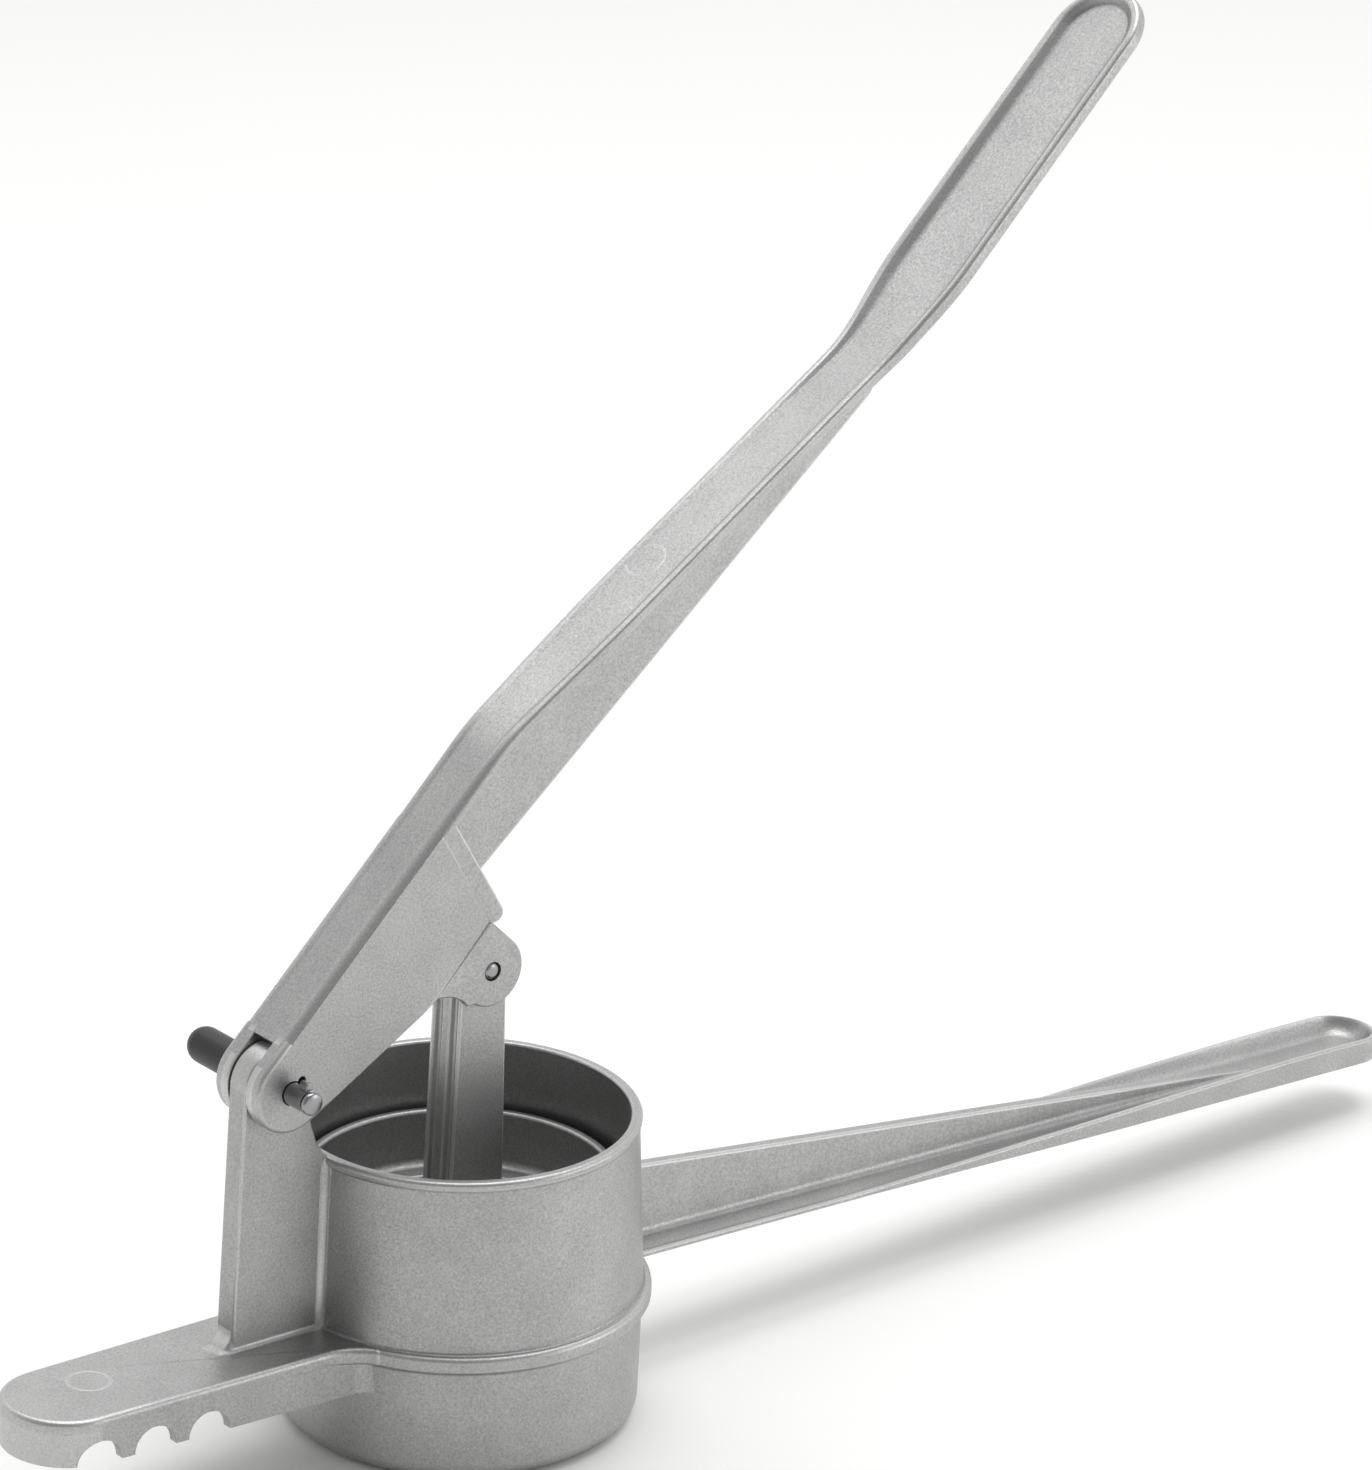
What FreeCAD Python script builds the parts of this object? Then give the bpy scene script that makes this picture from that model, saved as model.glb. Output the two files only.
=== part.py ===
import FreeCAD, Part
import math
import os

# Hand potato ricer of cast aluminium, modelled half open.
# Millimetres. The origin is on the cup's axis, in the plane that the cup stands on.
# +X points along the fixed handle, +Z up, and the black pin cap is on the +Y side.

# Cup
RIM_RADIUS = 42.0            # outside, at the lip
CUP_WALL = 2.7               # at the lip
CUP_HEIGHT = 75.3
SHOULDER_DRAFT = 1.1         # how far the outside stands out beyond the lip above the bead,
WAIST_DRAFT = 0.9            # below the bead
FOOT_DRAFT = 0.4             # and above the rounded foot
FOOT_FILLET = 4.5
LIP_ROUND = 1.3
BEAD_LEVEL = 32.8            # top of the bead and of the pot rest beside it
BEAD_HEIGHT = 4.2
BEAD_DEPTH = 2.0

SHOULDER_RADIUS = RIM_RADIUS + SHOULDER_DRAFT
WAIST_RADIUS = RIM_RADIUS + WAIST_DRAFT
FOOT_RADIUS = RIM_RADIUS + FOOT_DRAFT
BORE_RADIUS = RIM_RADIUS - CUP_WALL

# Sieve base
SIEVE_RADIUS = FOOT_RADIUS - FOOT_FILLET
SIEVE_THICKNESS = 3.2
SIEVE_HOLE_DIAMETER = 3.0
SIEVE_PITCH = 5.0
SIEVE_MARGIN = 2.0           # solid ring left round the holes

# Pot rest, the notched nose opposite the handle
REST_LENGTH = 84.2           # from the lip to the tip
REST_HALF_TIP = 14.8
REST_HALF_ROOT = 15.8
REST_ROUND = 1.6
REST_WALL = 2.6
REST_DEPTH_TIP = 10.9
REST_DEPTH_ROOT = 12.3
REST_TILT = 1.76             # degrees by which the rest climbs from the bead to its tip
NOTCH_RADIUS = 5.6
NOTCH_PITCH = 14.6
NOTCH_SETBACK = 14.4         # from the tip to the outermost notch
NOTCH_COUNT = 3

REST_TIP = RIM_RADIUS + REST_LENGTH
NOTCH_FIRST = REST_TIP - NOTCH_SETBACK

# Hinge post
HINGE_SETBACK = 12.8         # from the lip to the hinge's axis
HINGE_RISE = 21.1            # from the lip up to the hinge's axis
POST_THICKNESS = 6.4
POST_DEPTH = 25.6            # from the lip to the post's front edge at its foot
POST_FOOT_FILLET = 5.0
POST_BACK_BOW = 1.0          # how far the back bows out under the lug
LUG_RADIUS = 9.4

HINGE_X = -RIM_RADIUS - HINGE_SETBACK
HINGE_Z = CUP_HEIGHT + HINGE_RISE
POST_FRONT_FOOT = RIM_RADIUS + POST_DEPTH

# Fixed handle: a flange with a standing web that runs out into a trough
HANDLE_LENGTH = 260.3        # from the lip to the tip
HANDLE_DROP = 1.3            # from the bead's level to the flange's, at the cup's axis
HANDLE_FALL = 0.0527         # how much the flange drops for each millimetre of length
FLANGE_HALF = 9.0
FLANGE_THICKNESS = 2.4
WEB_THICKNESS = 3.6
WEB_RISE = 22.9              # from the flange to the web's top, at the cup's axis
WEB_FALL = 0.1407
TROUGH_LENGTH = 130.7
TROUGH_HALF = 9.9
TROUGH_RISE = 4.2            # rim of the trough above its floor
TROUGH_RAMP = 60.0           # length over which the rim rises

HANDLE_TIP = RIM_RADIUS + HANDLE_LENGTH
FLANGE_LEVEL = BEAD_LEVEL - HANDLE_DROP
WEB_LEVEL = FLANGE_LEVEL + WEB_RISE
TROUGH_START = HANDLE_TIP - TROUGH_LENGTH

# Lever. Its places are taken from the plunger's rivet, which hangs over the cup's axis.
PIVOT_X = 2.2
PIVOT_RISE = 15.3            # from the hinge's axis up to the rivet's
PIVOT_Z = HINGE_Z + PIVOT_RISE
LEVER_HALF = 8.2
EAR_RADIUS = 9.8
EAR_GAP = 0.3                # between the post and the ear on each side of it
CHEEK_THICKNESS = 2.4
LEVER_ROOT_ANGLE = 43.9      # flange over the cheeks, above level
LEVER_ARM_ANGLE = 32.8       # flange over the web
LEVER_GRIP_ANGLE = 44.4
BEND_SETBACK = 2.9           # from the rivet to the bend of root and arm, along X
ARM_RUN = 111.7              # from that bend to the bend of arm and grip, along X
GRIP_RUN = 76.0              # from that bend to the grip's tip, along X
LEVER_BEND_RADIUS = 60.0
LEVER_FLANGE = 2.8
SLOT_GAP = 0.45              # between the post and the slot in the flange on each side of it
SLOT_RUN = 2.2               # how far the slot stops short of the hinge's axis
LUG_CLEARANCE = 0.4          # between the post's round top and the flange over it
END_WALL_THICKNESS = 4.6
END_WALL_INSET = 0.8         # from the lever's side
CHEEK_LOW = (-15.5, -3.0)    # lowest corner of the cheek, from the rivet
END_WALL_TOP = (-13.9, 34.8)
END_WALL_FOOT = (-1.0, 12.9)
LEVER_WEB_LOW = (1.5, 23.1)
LEVER_WEB_ANGLE = 39.3
EAR_LOW_ANGLE = -62.0        # where the cheek's lower edge leaves the ear
EAR_FRONT_ANGLE = -172.0
LOBE_RADIUS = 8.6
LOBE_HALF_ANGLE = 40.0
LOBE_LOW_ANGLE = -125.0      # where the cheek's lower edge meets the lobe
GRIP_HALF = 12.9
GRIP_THICKNESS = 3.6
GRIP_WALL = 2.0
GRIP_LEAD = 8.8              # how far the grip starts before its bend
ARM_HALF = 9.4               # the flange's half width over the arm
ARM_FLARE = 40.0             # length over which the flange widens, along X
FLARE_START = 4.0            # from the grip's start, along X
FLARE_END = 30.0

SLOT_HALF = POST_THICKNESS / 2 + SLOT_GAP
SLOT_END_X = HINGE_X - SLOT_RUN
LEVER_BEND_X = PIVOT_X + BEND_SETBACK
LEVER_GRIP_X = LEVER_BEND_X + ARM_RUN
GRIP_TIP_X = LEVER_GRIP_X + GRIP_RUN
GRIP_START_X = LEVER_GRIP_X - GRIP_LEAD

# Plunger
PISTON_CLEARANCE = 1.85      # round the piston, for the sideways travel of the rivet
PISTON_SHIFT = -0.6          # piston's axis from the cup's axis in this pose
PISTON_SINK = 34.3           # from the lip down to the piston's underside
PISTON_FLOOR = 4.4
PISTON_SKIRT_HEIGHT = 18.3
PISTON_SKIRT_WALL = 2.4
STEM_GAP = 0.4               # between the stem and the cheek on each side of it
STEM_PLATE = 1.5
STEM_RIB = 3.4
STEM_CROSS = 3.4
STEM_RIGHT = 6.0             # right edge, from the rivet's axis
STEM_LEFT_FOOT = -10.0       # left edge at the foot
STEM_EYE_RADIUS = 6.6
STEM_BOSS_RADIUS = 5.0
RIVET_RADIUS = 2.1

PISTON_RADIUS = BORE_RADIUS - PISTON_CLEARANCE
PISTON_BOTTOM = CUP_HEIGHT - PISTON_SINK
PISTON_SKIRT_TOP = PISTON_BOTTOM + PISTON_SKIRT_HEIGHT
STEM_HALF = LEVER_HALF - CHEEK_THICKNESS - STEM_GAP

# Hinge pin
PIN_RADIUS = 2.7
PIN_STAND_OUT = 8.0          # from the near ear's face to the tip
PIN_GROOVE_SETBACK = 0.6     # from the tip to the groove
PIN_GROOVE_WIDTH = 0.5
PIN_GROOVE_DEPTH = 0.4
KEY_ANGLE = 86.0             # locked position, above +X
KEYWAY_ANGLE = 43.0
KEY_HEIGHT = 1.7             # above the pin
KEY_THICKNESS = 1.7
KEY_LENGTH = 2.8
KEY_STAND_OFF = 3.3          # from the near ear's face to the key
KEY_ROOT = 0.4               # how far the key is sunk in the pin
KEYWAY_CLEARANCE = 0.2
CAP_RADIUS = 4.4
CAP_LENGTH = 20.9

PIN_TIP_Y = -LEVER_HALF - PIN_STAND_OUT
PIN_GROOVE_Y = PIN_TIP_Y + PIN_GROOVE_SETBACK
KEY_REACH = PIN_RADIUS + KEY_HEIGHT
KEY_START_Y = -LEVER_HALF - KEY_STAND_OFF
CAP_START_Y = LEVER_HALF + EAR_GAP
CAP_END_Y = CAP_START_Y + CAP_LENGTH

RUNNING_CLEARANCE = 0.05
CUT = 1.0                    # how far a cutting tool runs past the face that it opens
FAR = 500.0                  # reach of a tool that cuts right across the object
HEIGHT_OF_WALL = 60.0        # reach of a tool that clears the space under the lever

V = FreeCAD.Vector
UP = V(0, 0, 1)
ACROSS = V(0, 1, 0)

os.makedirs("parts", exist_ok=True)


def save(node, shape):
    shape.exportStep("parts/%s.step" % node)


def direction(angle):
    """Unit vector in the XZ plane, at an angle above +X in degrees."""
    return V(math.cos(math.radians(angle)), 0, math.sin(math.radians(angle)))


def side_face(points):
    """Face in the XZ plane from its (x, z) corners."""
    return Part.Face(Part.makePolygon([V(x, 0, z) for x, z in points + points[:1]]))


def slab(face, low, high):
    """Extrude a face drawn in the XZ plane from y = low to y = high."""
    moved = face.copy()
    moved.translate(V(0, low, 0))
    return moved.extrude(V(0, high - low, 0))


def rod(x, z, radius, low, high):
    """Cylinder along Y."""
    return Part.makeCylinder(radius, high - low, V(x, low, z), ACROSS)


# ---------------------------------------------------------------- cup

def cup_outline():
    """Edges of the cup's outside from the axis at the foot to the lip, in the XZ plane."""
    foot = FOOT_RADIUS
    bead_low = BEAD_LEVEL - BEAD_HEIGHT
    corner = FOOT_FILLET * (1 - math.sqrt(0.5))
    lip = RIM_RADIUS - LIP_ROUND
    lip_corner = LIP_ROUND * math.sqrt(0.5)
    return [
        Part.makeLine(V(0, 0, 0), V(foot - FOOT_FILLET, 0, 0)),
        Part.Arc(V(foot - FOOT_FILLET, 0, 0), V(foot - corner, 0, corner),
                 V(foot, 0, FOOT_FILLET)).toShape(),
        Part.makeLine(V(foot, 0, FOOT_FILLET), V(WAIST_RADIUS, 0, bead_low)),
        Part.Arc(V(WAIST_RADIUS, 0, bead_low),
                 V(SHOULDER_RADIUS + BEAD_DEPTH, 0, BEAD_LEVEL - BEAD_HEIGHT / 2),
                 V(SHOULDER_RADIUS, 0, BEAD_LEVEL)).toShape(),
        Part.makeLine(V(SHOULDER_RADIUS, 0, BEAD_LEVEL), V(RIM_RADIUS, 0, CUP_HEIGHT - LIP_ROUND)),
        Part.Arc(V(RIM_RADIUS, 0, CUP_HEIGHT - LIP_ROUND),
                 V(lip + lip_corner, 0, CUP_HEIGHT - LIP_ROUND + lip_corner),
                 V(lip, 0, CUP_HEIGHT)).toShape(),
        Part.makeLine(V(lip, 0, CUP_HEIGHT), V(0, 0, CUP_HEIGHT)),
        Part.makeLine(V(0, 0, CUP_HEIGHT), V(0, 0, 0)),
    ]


cup_filled = Part.Face(Part.Wire(cup_outline())).revolve(V(0, 0, 0), UP, 360)


def cup_wall():
    """Cup with its turned-in foot; the sieve closes the opening in the foot."""
    bore = Part.makeCylinder(BORE_RADIUS, CUP_HEIGHT, V(0, 0, SIEVE_THICKNESS))
    opening = Part.makeCylinder(SIEVE_RADIUS, CUP_HEIGHT, V(0, 0, -CUT))
    return cup_filled.cut(bore).cut(opening)


save("cup_wall", cup_wall())


def sieve_base():
    """Perforated disc; three holes stand round its centre, which stays solid."""
    disc = Part.Wire(Part.makeCircle(SIEVE_RADIUS))
    holes = []
    limit = SIEVE_RADIUS - SIEVE_MARGIN - SIEVE_HOLE_DIAMETER / 2
    row_step = SIEVE_PITCH * math.sqrt(0.75)
    rows = int(limit / row_step) + 2
    columns = int(limit / SIEVE_PITCH) + 2
    for row in range(-rows, rows + 1):
        for column in range(-columns, columns + 1):
            x = SIEVE_PITCH * (column + 0.5 * ((row + 1) % 2))
            y = row_step * (row - 1 / 3)
            if math.hypot(x, y) <= limit:
                holes.append(Part.Wire(Part.makeCircle(SIEVE_HOLE_DIAMETER / 2, V(x, y, 0))))
    plate = Part.Face([disc] + holes)
    return plate.extrude(V(0, 0, SIEVE_THICKNESS))


save("sieve_base", sieve_base())


# ---------------------------------------------------------------- pot rest

def rest_plan(inset, level):
    """Plan of the pot rest, set in from its outside, from the cup's axis to the rounded tip."""
    tip = REST_TIP - inset
    half_tip = REST_HALF_TIP - inset
    half_root = REST_HALF_ROOT - inset
    shoulder = REST_TIP - REST_HALF_TIP
    edges = [
        Part.makeLine(V(0, half_root, level), V(-shoulder, half_tip, level)),
        Part.Arc(V(-shoulder, half_tip, level), V(-tip, 0, level),
                 V(-shoulder, -half_tip, level)).toShape(),
        Part.makeLine(V(-shoulder, -half_tip, level), V(0, -half_root, level)),
        Part.makeLine(V(0, -half_root, level), V(0, half_root, level)),
    ]
    return Part.Face(Part.Wire(edges))


def rest_depth(distance):
    """Depth of the skirt at a distance from the cup's axis."""
    root = SHOULDER_RADIUS
    share = (REST_TIP - distance) / (REST_TIP - root)
    return REST_DEPTH_TIP + (REST_DEPTH_ROOT - REST_DEPTH_TIP) * share


def tilted(shape):
    """Turn a shape made level so that it climbs from the bead towards the rest's tip."""
    shape.rotate(V(-SHOULDER_RADIUS, 0, BEAD_LEVEL), ACROSS, REST_TILT)
    return shape


def pot_rest():
    deep = REST_DEPTH_ROOT + 2 * CUT
    outer = rest_plan(0, BEAD_LEVEL - deep).extrude(V(0, 0, deep))
    top_edges = [e for e in outer.Edges
                 if abs(e.BoundBox.ZMin - BEAD_LEVEL) < 1e-6 and e.BoundBox.XMin < -CUT]
    outer = outer.makeFillet(REST_ROUND, top_edges)
    hollow = rest_plan(REST_WALL, BEAD_LEVEL - deep - CUT).extrude(V(0, 0, deep + CUT - REST_WALL))
    low_tip = BEAD_LEVEL - rest_depth(REST_TIP)
    low_root = BEAD_LEVEL - rest_depth(0)
    under = slab(side_face([(-REST_TIP - CUT, low_tip), (0, low_root),
                            (0, -CUT), (-REST_TIP - CUT, -CUT)]),
                 -REST_HALF_ROOT - CUT, REST_HALF_ROOT + CUT)
    shape = outer.cut(hollow).cut(under)
    for i in range(NOTCH_COUNT):
        distance = NOTCH_FIRST - i * NOTCH_PITCH
        level = BEAD_LEVEL - rest_depth(distance)
        shape = shape.cut(rod(-distance, level, NOTCH_RADIUS,
                              -REST_HALF_ROOT - CUT, REST_HALF_ROOT + CUT))
    return tilted(shape).cut(cup_filled)


save("pot_rest", pot_rest())


# ---------------------------------------------------------------- hinge post

def keyway(low, high):
    """Round key slot beside the hinge bore, in the direction that the key passes through."""
    reach = KEY_REACH - KEY_THICKNESS / 2
    way = direction(KEYWAY_ANGLE)
    radius = KEY_THICKNESS / 2 + KEYWAY_CLEARANCE
    return rod(HINGE_X + reach * way.x, HINGE_Z + reach * way.z, radius, low, high)


def hinge_bore(low, high):
    return rod(HINGE_X, HINGE_Z, PIN_RADIUS + RUNNING_CLEARANCE, low, high)


def hinge_post():
    half = POST_THICKNESS / 2
    front_top = HINGE_X - LUG_RADIUS
    rear_top = HINGE_X + LUG_RADIUS
    foot = -POST_FRONT_FOOT
    toe = foot - POST_FOOT_FILLET
    level = BEAD_LEVEL + (-toe - SHOULDER_RADIUS) * math.tan(math.radians(REST_TILT))
    bend = POST_FOOT_FILLET * (1 - math.sqrt(0.5))
    edges = [
        Part.makeLine(V(0, 0, BEAD_LEVEL), V(-SHOULDER_RADIUS, 0, BEAD_LEVEL)),
        Part.makeLine(V(-SHOULDER_RADIUS, 0, BEAD_LEVEL), V(toe, 0, level)),
        Part.Arc(V(toe, 0, level), V(foot - bend, 0, level + bend),
                 V(foot, 0, level + POST_FOOT_FILLET)).toShape(),
        Part.makeLine(V(foot, 0, level + POST_FOOT_FILLET), V(front_top, 0, HINGE_Z)),
        Part.Arc(V(front_top, 0, HINGE_Z), V(HINGE_X, 0, HINGE_Z + LUG_RADIUS),
                 V(rear_top, 0, HINGE_Z)).toShape(),
        Part.Arc(V(rear_top, 0, HINGE_Z), V(rear_top + POST_BACK_BOW, 0, HINGE_Z - LUG_RADIUS),
                 V(-RIM_RADIUS + LIP_ROUND, 0, CUP_HEIGHT)).toShape(),
        Part.makeLine(V(-RIM_RADIUS + LIP_ROUND, 0, CUP_HEIGHT), V(0, 0, CUP_HEIGHT)),
        Part.makeLine(V(0, 0, CUP_HEIGHT), V(0, 0, BEAD_LEVEL)),
    ]
    blank = slab(Part.Face(Part.Wire(edges)), -half, half)
    ground = tilted(rest_plan(0, BEAD_LEVEL - BEAD_HEIGHT - POST_FOOT_FILLET).extrude(
        V(0, 0, BEAD_HEIGHT + POST_FOOT_FILLET)))
    blank = blank.cut(cup_filled).cut(ground)
    return blank.cut(hinge_bore(-half - CUT, half + CUT)).cut(keyway(-half - CUT, half + CUT))


save("hinge_post", hinge_post())


# ---------------------------------------------------------------- fixed handle

def flange_top(x):
    return FLANGE_LEVEL - HANDLE_FALL * x


def web_top(x):
    return WEB_LEVEL - WEB_FALL * x


def handle_flange():
    profile = side_face([(0, flange_top(0)), (TROUGH_START, flange_top(TROUGH_START)),
                         (TROUGH_START, flange_top(TROUGH_START) - FLANGE_THICKNESS),
                         (0, flange_top(0) - FLANGE_THICKNESS)])
    return slab(profile, -FLANGE_HALF, FLANGE_HALF).cut(cup_filled)


def handle_web():
    end = (WEB_LEVEL - FLANGE_LEVEL) / (WEB_FALL - HANDLE_FALL)
    profile = side_face([(0, flange_top(0)), (end, flange_top(end)), (0, web_top(0))])
    return slab(profile, -WEB_THICKNESS / 2, WEB_THICKNESS / 2).cut(cup_filled)


def trough_plan(inset, low, high):
    """Solid over the trough's plan, which ends in a half circle."""
    half = TROUGH_HALF - inset
    shoulder = HANDLE_TIP - TROUGH_HALF
    start = TROUGH_START
    edges = [
        Part.makeLine(V(start, -half, low), V(shoulder, -half, low)),
        Part.Arc(V(shoulder, -half, low), V(HANDLE_TIP - inset, 0, low),
                 V(shoulder, half, low)).toShape(),
        Part.makeLine(V(shoulder, half, low), V(start, half, low)),
        Part.makeLine(V(start, half, low), V(start, -half, low)),
    ]
    return Part.Face(Part.Wire(edges)).extrude(V(0, 0, high - low))


def handle_trough():
    start = TROUGH_START
    tip = HANDLE_TIP + CUT
    rise_end = start + TROUGH_RAMP
    outside = side_face([
        (start, flange_top(start) - FLANGE_THICKNESS), (tip, flange_top(tip) - FLANGE_THICKNESS),
        (tip, flange_top(tip) + TROUGH_RISE), (rise_end, flange_top(rise_end) + TROUGH_RISE),
        (start, flange_top(start))])
    body = slab(outside, -TROUGH_HALF - CUT, TROUGH_HALF + CUT)
    body = body.common(trough_plan(0, 0, WEB_LEVEL))
    channel = side_face([
        (start - CUT, flange_top(start - CUT)), (tip, flange_top(tip)),
        (tip, WEB_LEVEL), (start - CUT, WEB_LEVEL)])
    hollow = slab(channel, -TROUGH_HALF, TROUGH_HALF)
    inside = trough_plan(FLANGE_THICKNESS, 0, WEB_LEVEL)
    return body.cut(hollow.common(inside))


save("handle_flange", handle_flange())
save("handle_web", handle_web())
save("handle_trough", handle_trough())


# ---------------------------------------------------------------- lever

root_way = direction(LEVER_ROOT_ANGLE)
arm_way = direction(LEVER_ARM_ANGLE)
grip_way = direction(LEVER_GRIP_ANGLE)
hinge = V(HINGE_X, 0, HINGE_Z)
pivot = V(PIVOT_X, 0, PIVOT_Z)


def left_of(way):
    """Unit vector square to a direction in the XZ plane, on its upper side."""
    return V(-way.z, 0, way.x)


root_start = hinge + left_of(root_way) * EAR_RADIUS
bend_point = root_start + root_way * ((LEVER_BEND_X - root_start.x) / root_way.x)
grip_point = bend_point + arm_way * ((LEVER_GRIP_X - LEVER_BEND_X) / arm_way.x)
grip_tip = grip_point + grip_way * ((GRIP_TIP_X - LEVER_GRIP_X) / grip_way.x)


def lever_line(depth):
    """The lever's top line moved down square to itself: root start, two bends and tip."""
    def cross(point, before, after):
        half_turn = math.acos(max(-1.0, min(1.0, before.dot(after)))) / 2
        middle = left_of(before) + left_of(after)
        middle.normalize()
        return point - middle * (depth / math.cos(half_turn))
    return [
        root_start - left_of(root_way) * depth,
        cross(bend_point, root_way, arm_way),
        cross(grip_point, arm_way, grip_way),
        grip_tip - left_of(grip_way) * depth,
    ]


def rounded_path(points):
    """Edges along the points with the two inner corners rounded."""
    edges = []
    here = points[0]
    for i in (1, 2):
        before = points[i] - points[i - 1]
        after = points[i + 1] - points[i]
        before.normalize()
        after.normalize()
        turn = math.acos(before.dot(after))
        back = LEVER_BEND_RADIUS * math.tan(turn / 2)
        start = points[i] - before * back
        end = points[i] + after * back
        centre_way = after - before
        centre_way.normalize()
        centre = points[i] + centre_way * (LEVER_BEND_RADIUS / math.cos(turn / 2))
        middle = centre - centre_way * LEVER_BEND_RADIUS
        edges.append(Part.makeLine(here, start))
        edges.append(Part.Arc(start, middle, end).toShape())
        here = end
    edges.append(Part.makeLine(here, points[3]))
    return edges


def strip_face(top, bottom):
    """Face between two offsets of the lever's top line."""
    upper = lever_line(top)
    lower = lever_line(bottom)
    edges = rounded_path(upper) + [Part.makeLine(upper[3], lower[3])]
    edges += rounded_path(lower) + [Part.makeLine(lower[0], upper[0])]
    return Part.Face(Part.Wire(Part.__sortEdges__(edges)))


def beside(x, keep_left):
    """Big block on one side of the plane x, used to divide the lever."""
    start = x - FAR if keep_left else x
    return Part.makeBox(FAR, FAR, FAR, V(start, -FAR / 2, 0))


def from_pivot(place):
    """Point given from the rivet's axis."""
    return pivot + V(place[0], 0, place[1])


wall_foot = from_pivot(END_WALL_FOOT)
wall_up = from_pivot(END_WALL_TOP) - wall_foot
wall_up.normalize()
wall_out = V(wall_up.z, 0, -wall_up.x)


def cheek_face():
    """Side view of a cheek: ear, upper edge, slanted end, lobe round the rivet, lower edge."""
    under = lever_line(LEVER_FLANGE)
    low = from_pivot(CHEEK_LOW)
    ear_low = direction(EAR_LOW_ANGLE) * EAR_RADIUS + hinge
    ear_front = direction(EAR_FRONT_ANGLE) * EAR_RADIUS + hinge
    lobe_low = pivot + direction(LOBE_LOW_ANGLE) * LOBE_RADIUS
    lobe_mid = pivot + direction(-LOBE_HALF_ANGLE) * LOBE_RADIUS
    lobe_top = pivot + direction(LOBE_HALF_ANGLE) * LOBE_RADIUS
    reach = (under[0] - wall_foot).dot(left_of(root_way)) / wall_up.dot(left_of(root_way))
    top = wall_foot + wall_up * reach
    edges = [
        Part.makeLine(under[0], top),
        Part.makeLine(top, wall_foot),
        Part.makeLine(wall_foot, lobe_top),
        Part.Arc(lobe_top, lobe_mid, lobe_low).toShape(),
        Part.makeLine(lobe_low, low),
        Part.makeLine(low, ear_low),
        Part.Arc(ear_low, ear_front, root_start).toShape(),
        Part.makeLine(root_start, under[0]),
    ]
    return Part.Face(Part.Wire(edges))


def lever_cheek(side):
    """One cheek with its ear boss; side is -1 for the near one and +1 for the far one."""
    outer = LEVER_HALF
    inner = LEVER_HALF - CHEEK_THICKNESS
    boss = POST_THICKNESS / 2 + EAR_GAP
    plate = slab(cheek_face(), inner, outer)
    ear = rod(HINGE_X, HINGE_Z, EAR_RADIUS, boss, inner)
    ear = ear.cut(slab(strip_face(0, LEVER_FLANGE), boss - CUT, inner + CUT))
    shape = plate.fuse(ear)
    shape = shape.cut(rod(PIVOT_X, PIVOT_Z, RIVET_RADIUS, inner - CUT, outer + CUT))
    shape = shape.cut(hinge_bore(boss - CUT, outer + CUT)).cut(keyway(boss - CUT, outer + CUT))
    if side < 0:
        shape = shape.mirror(V(0, 0, 0), ACROSS)
    return shape.removeSplitter()


def lever_flange():
    """Strip over the cheeks and the arm, slotted for the hinge post."""
    start = root_start.x - EAR_RADIUS
    wide = LEVER_BEND_X + ARM_FLARE
    plan = [(start, LEVER_HALF), (LEVER_BEND_X, LEVER_HALF), (wide, ARM_HALF),
            (GRIP_START_X, ARM_HALF)]
    plan += [(x, -y) for x, y in reversed(plan)]
    outline = Part.makePolygon([V(x, y, 0) for x, y in plan + plan[:1]])
    top = slab(strip_face(0, LEVER_FLANGE), -ARM_HALF, ARM_HALF)
    top = top.common(Part.Face(outline).extrude(V(0, 0, FAR)))
    slot = Part.makeBox(FAR, 2 * SLOT_HALF, FAR, V(SLOT_END_X - FAR, -SLOT_HALF, 0))
    lug_room = rod(HINGE_X, HINGE_Z, LUG_RADIUS + LUG_CLEARANCE, -SLOT_HALF, SLOT_HALF)
    return top.cut(slot).cut(lug_room)


def lever_end_wall():
    """Wall across the cheeks' slanted ends, with a round lower edge."""
    half = END_WALL_THICKNESS / 2
    corner = wall_foot + wall_out * END_WALL_THICKNESS
    edges = [
        Part.makeLine(wall_foot, wall_foot + wall_up * HEIGHT_OF_WALL),
        Part.makeLine(wall_foot + wall_up * HEIGHT_OF_WALL, corner + wall_up * HEIGHT_OF_WALL),
        Part.makeLine(corner + wall_up * HEIGHT_OF_WALL, corner),
        Part.Arc(corner, wall_foot + wall_out * half - wall_up * half, wall_foot).toShape(),
    ]
    half_width = LEVER_HALF - END_WALL_INSET
    wall = slab(Part.Face(Part.Wire(edges)), -half_width, half_width)
    keep = slab(strip_face(LEVER_FLANGE, HEIGHT_OF_WALL), -half_width - CUT, half_width + CUT)
    return wall.common(keep).cut(lever_cheek(-1)).cut(lever_cheek(1))


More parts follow.
